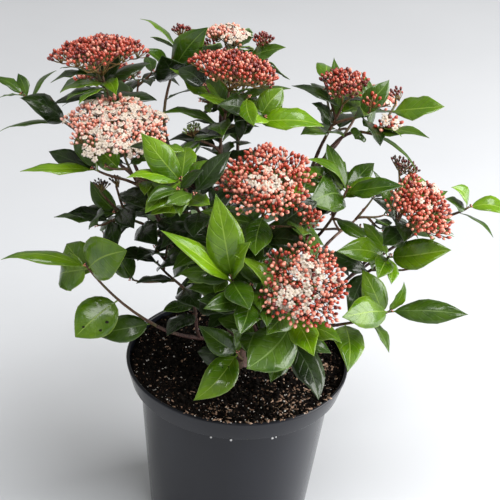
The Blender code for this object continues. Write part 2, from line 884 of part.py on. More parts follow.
def grow_wood_and_heads(thicket, name, row, bough, chance):
    """Leading twig, forks and heads of one mass. Returns its pieces and its twigs."""
    heading, twigs = lead_twigs(name, row, bough)
    pieces = []
    for i, points in enumerate(twigs):
        radii = taper(TWIG_RADIUS if i == 0 else FORK_SHARE * TWIG_RADIUS, TWIG_END_RADIUS, len(points))
        pieces.append(twig_shape(points, radii, heading if i == 0 else None))
        thicket.add(name, pieces[-1])
    for twig, diameter, centre_mm, facing in row["heads"]:
        axis = Vector(facing).normalized()
        centre = Vector(centre_mm) * MM
        dome = dome_shape(centre, axis, 0.5 * diameter * MM, chance)
        pieces.append(dome)
        thicket.add(name, dome)
        pieces += ray_shapes(twigs[twig][-1], centre, axis, 0.5 * diameter * MM)
    return pieces, twigs


def grow_named_leaves(thicket, name, row, pieces, twigs, chance):
    for twig, share, tip_mm, width in row["leaves"]:
        root, heading = along(twigs[twig], share)
        root = root + heading * chance.uniform(-ROOT_SPREAD, ROOT_SPREAD)
        tip = Vector(tip_mm) * MM
        try_leaf(thicket, name, pieces, root, tip, upward(root, heading), width * MM, NAMED_LEAF)


def grow_pairs(thicket, name, pieces, points, shares, length, turn, chance):
    """Opposite leaf pairs along a twig, each pair a quarter turn on from the last."""
    for k, share in enumerate(shares):
        root, heading = along(points, share)
        side, upper = frame_of(heading, across(heading))
        for hand in (-1.0, 1.0):
            seat = root + heading * chance.uniform(-ROOT_SPREAD, ROOT_SPREAD)
            size = length * chance.uniform(1.0 - LEAF_VARIETY, 1.0 + LEAF_VARIETY)
            for attempt, extra_turn in enumerate(TURNS_TRIED):
                angle = turn + k * math.pi / 2.0 + extra_turn
                opening = PAIR_OPENING + chance.uniform(-OPENING_VARIETY, OPENING_VARIETY)
                out = hand * (math.cos(angle) * side + math.sin(angle) * upper)
                aim = heading * math.cos(opening) + out * math.sin(opening)
                aim.z = LEVELLING * aim.z - chance.uniform(0.0, MOST_DROOP)
                tip = seat + aim.normalized() * size * (1.0 - SHORTER * attempt)
                up = upward(seat, heading)
                if try_leaf(thicket, name, pieces, seat, tip, up, size * LEAF_ASPECT, RULE_LEAF):
                    break


def grow_side_shoot(thicket, name, pieces, lead, chance):
    """One side shoot at a seeded place on the leading twig, with two pairs of leaves."""
    root, heading = along(lead, chance.uniform(*SHOOT_RANGE))
    side, upper = frame_of(heading, across(heading))
    for _ in range(PLACES_TRIED):
        angle = chance.uniform(0.0, 2.0 * math.pi)
        out = math.cos(angle) * side + math.sin(angle) * upper
        aim = (heading + 1.1 * out + 0.2 * UP).normalized()
        end = root + aim * SIDE_SHOOT * chance.uniform(0.8, 1.2)
        points = curve_between(root, aim, end, aim + 0.4 * UP, 2)
        if try_twig(thicket, name, pieces, points, taper(FORK_SHARE * TWIG_RADIUS, TWIG_END_RADIUS, len(points))):
            grow_pairs(thicket, name, pieces, points, SHOOT_PAIRS, SHOOT_LEAF, angle, chance)
            break


def grow_rule_leaves(thicket, name, row, pieces, twigs, chance):
    """Leaves and side shoots that no row names, by the seeded rule."""
    if not row["shoots"]:
        return
    for i, points in enumerate(twigs):
        length = sum((b - a).length for a, b in zip(points, points[1:]))
        pairs = max(1, round(length / PAIR_SPACING))
        last = BUDDED_SHARE if any(head[0] == i for head in row["heads"]) else LEAFY_SHARE
        shares = [last - (last - LOWEST_PAIR) * k / pairs for k in range(pairs)]
        grow_pairs(thicket, name, pieces, points, shares, PAIR_LEAF, chance.uniform(0.0, math.pi), chance)
    for _ in range(row["shoots"]):
        grow_side_shoot(thicket, name, pieces, twigs[0], chance)


def is_closed(shape):
    return all(len(edge.link_faces) == 2 for edge in shape.edges)


def drop_scraps(shape):
    """Leaves only the largest connected body: sealed hollows and loose scraps go."""
    waiting = set(shape.verts)
    bodies = []
    while waiting:
        reached = [waiting.pop()]
        body = []
        while reached:
            vertex = reached.pop()
            body.append(vertex)
            for edge in vertex.link_edges:
                other = edge.other_vert(vertex)
                if other in waiting:
                    waiting.remove(other)
                    reached.append(other)
        bodies.append(body)
    bodies.sort(key=len)
    for body in bodies[:-1]:
        bmesh.ops.delete(shape, geom=body, context="VERTS")


def tidy(mesh):
    """Drops what the union left over, and merges its flat slivers where that keeps the solid closed."""
    shape = bmesh.new()
    shape.from_mesh(mesh)
    drop_scraps(shape)
    shape.to_mesh(mesh)
    bmesh.ops.dissolve_limit(shape, angle_limit=SLIVER_ANGLE, verts=shape.verts, edges=shape.edges)
    bmesh.ops.triangulate(shape, faces=shape.faces)
    if is_closed(shape):
        shape.to_mesh(mesh)
    shape.free()


def fuse(name, pieces, material):
    """Joins the shapes of one mass by a single union. The exact solver leaves edges open here."""
    stem = add_piece(name, mesh_from(name, pieces[0]), material)
    branchlets = bpy.data.collections.new(name + "_branchlets")
    bpy.context.scene.collection.children.link(branchlets)
    for i, shape in enumerate(pieces[1:]):
        add_piece(f"{name}_{i}", mesh_from(f"{name}_{i}", shape), material, branchlets)
    union = stem.modifiers.new("union", "BOOLEAN")
    union.operation = "UNION"
    union.operand_type = "COLLECTION"
    union.collection = branchlets
    union.solver = "MANIFOLD"
    settle(stem)
    tidy(stem.data)
    for branchlet in list(branchlets.objects):
        bpy.data.objects.remove(branchlet)
    bpy.data.collections.remove(branchlets)
    return stem


def make_foliage(material, woody, paths):
    """All masses, grown together so that each keeps to its own space."""
    thicket = Thicket()
    for piece in woody:
        shape = bmesh.new()
        shape.from_mesh(piece.data)
        thicket.add(piece.name, shape)
        shape.free()
    chances = {name: random.Random(SEED + order) for order, name in enumerate(MASSES)}
    grown = {}
    for name, row in MASSES.items():
        grown[name] = grow_wood_and_heads(thicket, name, row, paths[name], chances[name])
    for name, row in MASSES.items():
        grow_named_leaves(thicket, name, row, *grown[name], chances[name])
    for name, row in MASSES.items():
        grow_rule_leaves(thicket, name, row, *grown[name], chances[name])
    return [fuse(name + "_foliage", pieces, material) for name, (pieces, _) in grown.items()]


# ---------------------------------------------------------------- assembly

clear_scene()
plastic = finish_of("charcoal_plastic", (0.055, 0.060, 0.072), 0.45)
soil = finish_of("compost", (0.020, 0.014, 0.010), 0.95)
bark = finish_of("bark", (0.085, 0.040, 0.030), 0.75)
leafage = finish_of("leafage", (0.060, 0.160, 0.020), 0.40)

pot = make_pot(plastic)
compost = make_compost(soil)
foot = round_limb("stem_foot", FOOT_POINTS, FOOT_RADII, TRUNK_RESOLUTION, bark)
paths = make_boughs(bark)
boughs = [bpy.data.objects[row[0] + "_bough"] for row in BOUGHS]
masses = make_foliage(leafage, [pot, compost, foot, *boughs], paths)

for piece in (pot, compost, foot, *boughs):
    piece.data.shade_smooth()
    piece.data.set_sharp_from_angle(angle=math.radians(40.0))
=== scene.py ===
import math
import random
from collections import namedtuple

import bmesh
import bpy
import numpy as np
from mathutils import Matrix, Vector, noise
from mathutils.bvhtree import BVHTree
from mathutils.geometry import intersect_point_line


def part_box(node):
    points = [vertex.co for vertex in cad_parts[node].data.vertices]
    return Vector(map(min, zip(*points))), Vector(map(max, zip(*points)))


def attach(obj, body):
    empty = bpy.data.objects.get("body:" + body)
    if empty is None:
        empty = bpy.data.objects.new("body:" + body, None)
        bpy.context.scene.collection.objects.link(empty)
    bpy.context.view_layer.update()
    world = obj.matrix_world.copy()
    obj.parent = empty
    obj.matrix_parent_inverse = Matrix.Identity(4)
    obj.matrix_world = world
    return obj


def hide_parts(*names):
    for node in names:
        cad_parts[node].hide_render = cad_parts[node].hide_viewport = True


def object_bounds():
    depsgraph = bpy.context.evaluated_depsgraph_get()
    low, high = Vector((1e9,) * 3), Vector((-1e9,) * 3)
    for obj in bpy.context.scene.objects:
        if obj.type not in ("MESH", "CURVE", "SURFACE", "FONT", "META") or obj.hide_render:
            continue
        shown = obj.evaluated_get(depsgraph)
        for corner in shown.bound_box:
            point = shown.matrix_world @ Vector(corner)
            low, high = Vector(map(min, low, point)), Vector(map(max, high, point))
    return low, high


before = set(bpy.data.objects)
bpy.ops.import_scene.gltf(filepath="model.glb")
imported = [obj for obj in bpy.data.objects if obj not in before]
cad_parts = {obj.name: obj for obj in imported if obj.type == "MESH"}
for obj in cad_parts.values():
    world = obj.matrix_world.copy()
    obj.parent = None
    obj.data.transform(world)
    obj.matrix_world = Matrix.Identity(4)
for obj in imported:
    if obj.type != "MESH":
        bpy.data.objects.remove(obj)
cad_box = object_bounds()

# ---------------------------------------------------------------- pot
# A thin-walled nursery pot, injection moulded in charcoal polypropylene. A band flares out under
# the rolled lip, so that empty pots stack, and six holes in the floor let the water out.

MM = 0.001
UP = Vector((0.0, 0.0, 1.0))
_, pot_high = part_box("pot")
POT_WALL = 1.8 * MM
BAND_FOOT = pot_high.z - 22.5 * MM
BAND_FOOT_RADIUS = 105.5 * MM
WALL_TOP_RADIUS = 96.5 * MM
FOOT_RADIUS = 80.5 * MM
FOOT_ROUNDING = 2.5 * MM
FOOT_STEP = 1.2 * MM
FOOT_STEP_HEIGHT = 12.0 * MM
BAND_ROUNDING = 0.9 * MM
BAND_RELIEF = 0.8 * MM
LIP_RADIUS = 1.7 * MM
FLOOR_THICKNESS = 3.0 * MM
DRAIN_HOLES = 6
DRAIN_RADIUS = 6.5 * MM
DRAIN_CIRCLE = 52.0 * MM
DRILL_SIDES = 24
POT_STEPS = 128
SHARP_ANGLE = 50.0
MERGED_WITHIN = 0.001 * MM
CHARCOAL = (0.0050, 0.0058, 0.0105, 1.0)
DUSTY = (0.013, 0.015, 0.023, 1.0)


def node(tree, kind, sockets=None, **settings):
    """A shader node with its settings, and a value or a link for each socket named."""
    made = tree.nodes.new(kind)
    for name, value in settings.items():
        setattr(made, name, value)
    for socket, value in (sockets or {}).items():
        if isinstance(value, bpy.types.NodeSocket):
            tree.links.new(value, made.inputs[socket])
        else:
            made.inputs[socket].default_value = value
    return made


def calculated(tree, operation, first, second=0.0):
    """A value worked out from one or two others."""
    return node(tree, "ShaderNodeMath", {0: first, 1: second}, operation=operation).outputs[0]


def blended(tree, share, first, second):
    """The colour between two colours, by a share from 0 to 1."""
    return node(tree, "ShaderNodeMix", {0: share, 6: first, 7: second}, data_type="RGBA").outputs[2]


def spread(tree, value, low, high, out_low=0.0, out_high=1.0):
    """A value between two limits, spread over another range."""
    sockets = {"Value": value, "From Min": low, "From Max": high, "To Min": out_low, "To Max": out_high}
    return node(tree, "ShaderNodeMapRange", sockets).outputs[0]


def new_group(name, takes, gives):
    """A shader node group with named inputs and outputs; gives it with the values it is given."""
    group = bpy.data.node_groups.new(name, "ShaderNodeTree")
    for in_out, sockets in (("INPUT", takes), ("OUTPUT", gives)):
        for socket in sockets:
            group.interface.new_socket(socket, in_out=in_out, socket_type="NodeSocketFloat")
    return group, group.nodes.new("NodeGroupInput").outputs


def grain_group():
    """Broad mottling and fine grain on a piece, with a relief height made of both."""
    group, given = new_group("grain", ("Broad Scale", "Fine Scale", "Stretch"), ("Broad", "Fine", "Height"))
    place = node(group, "ShaderNodeTexCoord").outputs["Object"]
    squeeze = node(group, "ShaderNodeCombineXYZ", {"X": 1.0, "Y": 1.0, "Z": given["Stretch"]}).outputs[0]
    place = node(group, "ShaderNodeVectorMath", {0: place, 1: squeeze}, operation="MULTIPLY").outputs[0]
    broad = node(group, "ShaderNodeTexNoise", {"Vector": place, "Scale": given["Broad Scale"], "Detail": 3.0})
    fine = node(group, "ShaderNodeTexNoise", {"Vector": place, "Scale": given["Fine Scale"], "Detail": 5.0})
    height = calculated(group, "ADD", broad.outputs[0], fine.outputs[0])
    ends = {"Broad": broad.outputs[0], "Fine": fine.outputs[0], "Height": height}
    node(group, "NodeGroupOutput", ends)
    return group


GRAIN = grain_group()


def grained(tree, broad_scale, fine_scale, stretch=1.0):
    """The grain group placed in a material with its own values; gives its outputs."""
    sockets = {"Broad Scale": broad_scale, "Fine Scale": fine_scale, "Stretch": stretch}
    return node(tree, "ShaderNodeGroup", sockets, node_tree=GRAIN).outputs


def new_material(name, **sockets):
    """A Principled material; gives it with its node tree and its shader's inputs."""
    material = bpy.data.materials.new(name)
    material.use_nodes = True
    inputs = material.node_tree.nodes["Principled BSDF"].inputs
    for socket, value in sockets.items():
        inputs[socket.replace("_", " ")].default_value = value
    return material, material.node_tree, inputs


def feed(tree, inputs, **values):
    """Links a value that changes over the surface to each shader input named."""
    for socket, value in values.items():
        tree.links.new(value, inputs[socket.replace("_", " ")])


def relief(tree, inputs, height, strength, distance):
    """Puts a height on the shader as a bump."""
    sockets = {"Height": height, "Strength": strength, "Distance": distance}
    feed(tree, inputs, Normal=node(tree, "ShaderNodeBump", sockets).outputs[0])


def moulded_plastic():
    """Charcoal plastic with a slight satin sheen, faint upright flow marks and dust in its grain."""
    satin = dict(Coat_Weight=1.0, Coat_Roughness=0.22, Coat_IOR=1.3, Specular_IOR_Level=0.1)
    material, tree, inputs = new_material("charcoal_plastic", **satin)
    grain = grained(tree, 14.0, 900.0, 0.35)
    dust = spread(tree, grain["Broad"], 0.48, 0.75, 0.0, 0.55)
    feed(tree, inputs, Base_Color=blended(tree, dust, CHARCOAL, DUSTY),
         Roughness=spread(tree, grain["Broad"], 0.3, 0.7, 0.36, 0.50))
    relief(tree, inputs, grain["Fine"], 0.12, 0.4 * MM)
    return material


def add_piece(name, mesh, materials):
    """A finished piece of the plant, riding with it."""
    piece = bpy.data.objects.new(name, mesh)
    for material in materials:
        mesh.materials.append(material)
    bpy.context.scene.collection.objects.link(piece)
    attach(piece, "root")
    return piece


def mesh_of(name, shape):
    """A bmesh made a mesh."""
    mesh = bpy.data.meshes.new(name)
    shape.to_mesh(mesh)
    shape.free()
    return mesh


def smoothed(mesh, sharp_angle):
    """Shades a mesh smooth, but for edges that turn by more than an angle in degrees."""
    mesh.shade_smooth()
    mesh.set_sharp_from_angle(angle=math.radians(sharp_angle))
    return mesh


def arc(centre_radius, centre_height, size, start, end, steps=5):
    """Points round part of a circle, as (radius, height), between two angles in degrees."""
    angles = [math.radians(start + (end - start) * i / steps) for i in range(steps + 1)]
    return [(centre_radius + size * math.cos(a), centre_height + size * math.sin(a)) for a in angles]


def spun(outline, steps):
    """A closed shape from (radius, height) points swung once round the Z axis."""
    shape = bmesh.new()
    corners = [shape.verts.new((radius, 0.0, height)) for radius, height in outline]
    edges = [shape.edges.new(pair) for pair in zip(corners, corners[1:])]
    bmesh.ops.spin(shape, geom=corners + edges, angle=2.0 * math.pi, steps=steps, axis=(0, 0, 1),
                   cent=(0, 0, 0), use_merge=True)
    bmesh.ops.remove_doubles(shape, verts=shape.verts, dist=MERGED_WITHIN)
    bmesh.ops.recalc_face_normals(shape, faces=shape.faces)
    return shape


def pot_inside():
    """The pot's inner side from the floor's edge to below the lip, as (radius, height)."""
    return [
        (FOOT_RADIUS - POT_WALL, FLOOR_THICKNESS),
        (WALL_TOP_RADIUS - POT_WALL, BAND_FOOT),
        (BAND_FOOT_RADIUS - POT_WALL, BAND_FOOT + 2.0 * POT_WALL),
        (pot_high.x - 2.0 * LIP_RADIUS, pot_high.z - LIP_RADIUS),
    ]


def make_pot():
    """The pot's wall, band, lip and floor in one turned outline, with its holes drilled."""
    outline = [(0.0, 0.0)]
    outline += arc(FOOT_RADIUS - FOOT_ROUNDING, FOOT_ROUNDING, FOOT_ROUNDING, -90, 0)
    outline += [(FOOT_RADIUS + FOOT_STEP, FOOT_STEP_HEIGHT), (WALL_TOP_RADIUS, BAND_FOOT - BAND_RELIEF)]
    outline += arc(BAND_FOOT_RADIUS - BAND_ROUNDING, BAND_FOOT + BAND_ROUNDING, BAND_ROUNDING, -90, 0)
    outline += arc(pot_high.x - LIP_RADIUS, pot_high.z - LIP_RADIUS, LIP_RADIUS, -10, 180, 10)
    outline += reversed(pot_inside()[:-1])
    outline.append((0.0, FLOOR_THICKNESS))
    pot = bpy.data.objects.new("pot_blank", mesh_of("pot_blank", spun(outline, POT_STEPS)))
    drill = bmesh.new()
    for i in range(DRAIN_HOLES):
        turn = Matrix.Rotation(2.0 * math.pi * i / DRAIN_HOLES, 4, "Z")
        bmesh.ops.create_cone(drill, cap_ends=True, segments=DRILL_SIDES, radius1=DRAIN_RADIUS,
                              radius2=DRAIN_RADIUS, depth=6.0 * FLOOR_THICKNESS,
                              matrix=turn @ Matrix.Translation((DRAIN_CIRCLE, 0.0, 0.0)))
    drills = bpy.data.objects.new("drills", mesh_of("drills", drill))
    for blank in (pot, drills):
        bpy.context.scene.collection.objects.link(blank)
    cut = pot.modifiers.new("holes", "BOOLEAN")
    cut.operation = "DIFFERENCE"
    cut.object = drills
    mesh = bpy.data.meshes.new_from_object(pot.evaluated_get(bpy.context.evaluated_depsgraph_get()))
    for blank in (pot, drills):
        bpy.data.objects.remove(blank)
    mesh.name = "nursery_pot"
    return smoothed(mesh, SHARP_ANGLE)


pot_piece = add_piece("nursery_pot", make_pot(), [moulded_plastic()])
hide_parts("pot")

# ---------------------------------------------------------------- compost
# Moist compost pressed down by hand: near-black crumbs with bark chips, coir and white perlite.
# The lighter crumbs have washed together at the front and the right of the pot. The near-black of the bed and
# its peat, and how bare of lighter crumbs the bed is away from the drifts, are partly painted shade.

FOOT_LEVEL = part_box("stem_foot")[0].z
SOIL_LEVEL = FOOT_LEVEL + 4.5 * MM
BED_CLEARANCE = 0.6 * MM
BED_FOOT = FLOOR_THICKNESS + 0.3 * MM
BED_RINGS = 80
BED_STEPS = 180
CRUMB_SEED = 5
ANY_TURN = (0.0, 6.3)


def values_of(items, attribute, kind, size=1):
    """One attribute of many corners or faces, as a flat array."""
    values = np.empty(size * len(items), kind)
    items.foreach_get(attribute, values)
    return values


def corners_of(template):
    """A template's vertices as an array."""
    return values_of(template.vertices, "co", float, 3).reshape(-1, 3)


def repeated(name, template, points):
    """One mesh of many copies of a template. points (copies, vertices, 3) places every vertex."""
    count, size, _ = points.shape
    corners = values_of(template.loops, "vertex_index", np.int32)
    starts = values_of(template.polygons, "loop_start", np.int32)
    slots = values_of(template.polygons, "material_index", np.int32)
    copy = np.arange(count, dtype=np.int32)[:, None]
    mesh = bpy.data.meshes.new(name)
    mesh.vertices.add(count * size)
    mesh.vertices.foreach_set("co", points.astype(np.float32).ravel())
    mesh.loops.add(count * len(corners))
    mesh.loops.foreach_set("vertex_index", (corners + size * copy).ravel())
    mesh.polygons.add(count * len(starts))
    mesh.polygons.foreach_set("loop_start", (starts + len(corners) * copy).ravel())
    mesh.polygons.foreach_set("material_index", np.tile(slots, count))
    if template.uv_layers:
        flat = values_of(template.uv_layers[0].uv, "vector", np.float32, 2)
        mesh.uv_layers.new(name="UVMap").uv.foreach_set("vector", np.tile(flat, count))
    mesh.update(calc_edges=True)
    mesh.shade_smooth()
    return mesh


def scattered(name, template, placings):
    """One mesh of copies of a template, one under each 4 x 4 placing."""
    turns = np.array([placing.to_3x3() for placing in placings])
    shifts = np.array([placing.translation for placing in placings])
    points = np.einsum("nij,vj->nvi", turns, corners_of(template)) + shifts[:, None, :]
    return repeated(name, template, points)


def inside_radius(height):
    """How wide the pot is inside at a height."""
    radii, heights = zip(*pot_inside())
    return float(np.interp(height, heights, radii))


SOIL_RADIUS = inside_radius(SOIL_LEVEL) - BED_CLEARANCE

# Where the lighter crumbs have gathered: heading and half-width in degrees, radius and half-depth
# in mm. PATCHES are how full a drift is between its bare patches, how far that varies, and how
# many patches there are to the metre.
GATHERED = [(-52.0, 17.0, 83.0, 17.0), (-97.0, 9.0, 84.0, 10.0), (-6.0, 16.0, 84.0, 11.0)]
PATCHES = (0.62, 1.1, 85.0)

# The compost's lumps, clods and crumbs: height in mm, and how many there are to the metre.
LUMPS = [(2.4, 48.0), (1.8, 130.0), (1.3, 380.0)]
DRIFT_HEIGHT = 1.6
SETTLED = 0.6


def gathering(x, y):
    """From 0 to 1, how strongly lighter crumbs have gathered at a place."""
    strongest = 0.0
    for heading, width, radius, depth in GATHERED:
        turn = (math.degrees(math.atan2(y, x)) - heading) / width
        reach = (math.hypot(x, y) / MM - radius) / depth
        strongest = max(strongest, math.exp(-(turn * turn) - reach * reach))
    fullness, variation, closeness = PATCHES
    full = fullness + variation * noise.noise(Vector((x, y, 0.0)) * closeness)
    return strongest * min(1.0, max(0.0, full))


def soil_height(x, y):
    """Height of the compost's lumpy top at a place, heaped where the lighter crumbs have gathered."""
    place = Vector((x, y, 0.0))
    lumps = sum(height * noise.noise(place * closeness) for height, closeness in LUMPS)
    return SOIL_LEVEL + (lumps + DRIFT_HEIGHT * gathering(x, y) - SETTLED) * MM


def make_soil():
    """The bed that fills the pot, with a lumpy top."""
    rings = [(SOIL_RADIUS * i / BED_RINGS, SOIL_LEVEL) for i in range(BED_RINGS + 1)]
    walls = [(radius - BED_CLEARANCE, height) for radius, height in reversed(pot_inside()[:3])]
    shape = spun(rings + walls + [(0.0, BED_FOOT)], BED_STEPS)
    for vertex in shape.verts:
        if vertex.co.z > SOIL_LEVEL - 0.5 * MM:
            vertex.co.z = soil_height(vertex.co.x, vertex.co.y)
    return smoothed(mesh_of("compost_bed", shape), 180.0)


def grainy_material(name, colour, lighter, roughness, shine=0.5):
    """A grainy surface in two mixed tones."""
    material, tree, inputs = new_material(name, Roughness=roughness, Specular_IOR_Level=shine)
    grain = grained(tree, 260.0, 1800.0)
    tone = spread(tree, grain["Broad"], 0.35, 0.65)
    feed(tree, inputs, Base_Color=blended(tree, tone, colour, lighter))
    relief(tree, inputs, grain["Fine"], 0.5, 0.3 * MM)
    return material


LIP_SHARE = 0.008
LIP_TOP = pot_high.z - 0.4 * MM
LIP_HEADINGS = (-115.0, -30.0)
LIP_REACH = (0.955, 0.99)
BED_REACH = 0.99
FOOT_CLEARANCE = 14.0 * MM


def crumb_places(chance, count, gathered):
    """Seeded places on the compost. Gathered crumbs lie mostly in drifts, a few on the lip."""
    places = []
    while len(places) < count:
        if chance.random() < LIP_SHARE * gathered:
            heading = math.radians(chance.uniform(*LIP_HEADINGS))
            radius = chance.uniform(*LIP_REACH) * pot_high.x
            places.append(Vector((radius * math.cos(heading), radius * math.sin(heading), LIP_TOP)))
            continue
        angle = chance.uniform(0.0, 2.0 * math.pi)
        radius = SOIL_RADIUS * math.sqrt(chance.random()) * BED_REACH
        x, y = radius * math.cos(angle), radius * math.sin(angle)
        is_clear = math.hypot(x, y) > FOOT_CLEARANCE
        # Crumbs kept off the bed away from the drifts leave it darker there: partly painted shade.
        if is_clear and chance.random() < 1.0 - gathered * (1.0 - gathering(x, y)):
            places.append(Vector((x, y, soil_height(x, y))))
    return places


# Name, count, smallest and largest size in mm, flatness, length, how far gathered into the drifts and kept
# off the rest of the bed as partly painted shade, two colours.
CRUMBS = [
    # The peat's near-black is partly painted shade.
    ("peat_crumbs", 3200, 1.2, 5.2, 0.8, 1.3, 0.0, (0.002, 0.0015, 0.0015, 1), (0.010, 0.007, 0.005, 1)),
    ("coir_crumbs", 1700, 0.8, 2.8, 0.6, 1.6, 0.50, (0.035, 0.018, 0.011, 1), (0.100, 0.056, 0.038, 1)),
    ("bark_chips", 900, 1.2, 4.0, 0.45, 2.0, 0.93, (0.240, 0.135, 0.085, 1), (0.560, 0.385, 0.280, 1)),
    ("perlite", 520, 0.7, 2.4, 0.85, 1.2, 0.70, (0.640, 0.590, 0.540, 1), (0.900, 0.870, 0.840, 1)),
]
CRUMB_KNOBS = (0.7, 1.15)
CRUMB_TILT = (-0.9, 0.9)
SHORTEST_CRUMB = 0.9
CRUMB_RISE = 0.25
MOSTLY_SMALL = 2.2


def make_crumbs(name, count, smallest, largest, flatness, length, gathered):
    """Knobbly bits of many sizes, mostly small, lying on the compost at every turn."""
    chance = random.Random(CRUMB_SEED + count)
    crumb = bmesh.new()
    bmesh.ops.create_icosphere(crumb, subdivisions=1, radius=0.5)
    for vertex in crumb.verts:
        vertex.co *= chance.uniform(*CRUMB_KNOBS)
    template = mesh_of("template", crumb)
    placings = []
    for place in crumb_places(chance, count, gathered):
        size = (smallest + (largest - smallest) * chance.random() ** MOSTLY_SMALL) * MM
        heading = Matrix.Rotation(chance.uniform(*ANY_TURN), 4, "Z")
        tilt = Matrix.Rotation(chance.uniform(*CRUMB_TILT), 4, "X")
        long = chance.uniform(SHORTEST_CRUMB, length)
        shape = Matrix.Diagonal((size * long, size / long, size * flatness, 1.0))
        seat = Matrix.Translation(place + UP * CRUMB_RISE * size * flatness)
        placings.append(seat @ (heading @ tilt) @ shape)
    return scattered(name, template, placings)


# The bed's near-black is partly painted shade.
bed_material = grainy_material("compost_bed", (0.002, 0.0015, 0.0015, 1), (0.009, 0.006, 0.005, 1), 0.95, 0.1)
bed = add_piece("compost_bed", make_soil(), [bed_material])
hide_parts("compost")
for name, count, smallest, largest, flatness, length, gathered, dark, light in CRUMBS:
    crumbs = make_crumbs(name, count, smallest, largest, flatness, length, gathered)
    add_piece(name, crumbs, [grainy_material(name, dark, light, 0.9, 0.1)])

# ---------------------------------------------------------------- splashes on the pot
# Grit and dried drops that watering has left along the lower edge of the pot's band, as small
# rounded blobs that have set on the plastic.

SPLASH_SIZE = 2.2 * MM
SPLASH_SIZES = (0.7, 1.1)
SPLASH_FLATNESS = 0.6
SUNK_IN = 0.4 * MM
GRIT_HEADINGS = (-101.0, -90.5, -81.5, -67.5, -65.0, -40.0)
DROP_HEADINGS = (-100.5, -90.0, -68.0, -66.0)


def make_splashes(name, headings, drop_below):
    """Small rounded blobs on the band, at a depth below its lower edge."""
    chance = random.Random(CRUMB_SEED)
    blob = bmesh.new()
    bmesh.ops.create_uvsphere(blob, u_segments=10, v_segments=7, radius=0.5)
    template = mesh_of("template", blob)
    placings = []
    for heading in headings:
        turn = Matrix.Rotation(math.radians(heading), 4, "Z")
        depth = drop_below + chance.uniform(-0.4, 0.4) * MM
        size = SPLASH_SIZE * chance.uniform(*SPLASH_SIZES)
        seat = Matrix.Translation((BAND_FOOT_RADIUS - SUNK_IN, 0.0, BAND_FOOT - depth))
        placings.append(turn @ seat @ Matrix.Diagonal((SPLASH_FLATNESS * size, size, size, 1.0)))
    return scattered(name, template, placings)


grit_material = grainy_material("grit", (0.003, 0.002, 0.002, 1), (0.010, 0.008, 0.007, 1), 0.6)
drop_material = grainy_material("dried_drops", (0.45, 0.45, 0.45, 1), (0.70, 0.70, 0.70, 1), 0.35)
add_piece("grit_on_pot", make_splashes("grit_on_pot", GRIT_HEADINGS, -1.0 * MM), [grit_material])
add_piece("drops_on_pot", make_splashes("drops_on_pot", DROP_HEADINGS, 0.9 * MM), [drop_material])

# ---------------------------------------------------------------- woody foot and boughs
# Living stems with thin red-brown bark, smooth and dark, a little ridged, and swollen at the old
# leaf scars. They fork from one short foot that flares where it meets the compost.

FOOT_BASE = Vector((0.0, 0.0, FOOT_LEVEL))
TRUNK_FORK = Vector((3.0, -2.0, 242.0)) * MM
TRUNK_RADIUS = 8.2 * MM
ROOT_FLARE = 15.0 * MM
FLARE_HEIGHT = 0.16
TRUNK_TAPER = 0.12
BOUGH_TAPER = 0.012
TWIG_RADIUS = 2.2 * MM
TWIG_END_RADIUS = 1.7 * MM
BEND_HANDLE = 0.36
SCAR_SPACING = 27.0 * MM
SCAR_WIDTH = 1.8 * MM
SCAR_HEIGHT = 0.35 * MM
SLIMMED = 0.70
FORK_SHARE = 0.84
RIDGES_ACROSS = 420.0
RIDGES_ALONG = 90.0
GREEN_SKIN = (0.090, 0.110, 0.030, 1.0)

# Name, what carries the bough, share of the carrier's length where it leaves, and its end in mm.
BOUGHS = [
    ("top", "stem_foot", 1.00, (-30, 0, 405)),
    ("left_white", "stem_foot", 0.78, (-95, -30, 375)),
    ("upper_right", "stem_foot", 0.78, (65, 10, 425)),
    ("centre", "stem_foot", 0.62, (10, -60, 350)),
    ("back", "stem_foot", 0.62, (-15, 70, 395)),
    ("low_left", "stem_foot", 0.46, (-80, -40, 240)),
    ("right_mid", "stem_foot", 0.46, (115, -30, 310)),
    ("front", "stem_foot", 0.36, (45, -100, 275)),
    ("back_low_left", "stem_foot", 0.30, (-55, 70, 285)),
    ("low_centre", "stem_foot", 0.16, (5, -45, 212)),
    ("back_low_right", "stem_foot", 0.20, (85, 70, 285)),
    ("upper_left", "left_white", 0.72, (-125, 10, 425)),
    ("far_left", "upper_left", 0.45, (-172, 15, 420)),
    ("left_mid", "left_white", 0.50, (-90, -18, 335)),
    ("left_inner", "low_left", 0.45, (-50, -35, 275)),
    ("middle_left", "top", 0.20, (-34, 14, 318)),
    ("centre_left", "centre", 0.55, (-45, -80, 395)),
    ("top_back_left", "top", 0.45, (-85, 40, 415)),
    ("top_back", "top", 0.72, (-32, 48, 445)),
    ("upper_right_out", "upper_right", 0.72, (90, 22, 430)),
    ("right_inner", "upper_right", 0.42, (70, -5, 335)),
    ("right_head", "right_mid", 0.62, (135, -15, 340)),
    ("far_right", "right_head", 0.40, (185, 22, 345)),
    ("low_right", "right_mid", 0.36, (95, -42, 258)),
    ("front_centre", "front", 0.50, (12, -98, 290)),
    ("back_left", "back", 0.38, (-110, 72, 395)),
    ("back_right", "back", 0.48, (85, 70, 400)),
]

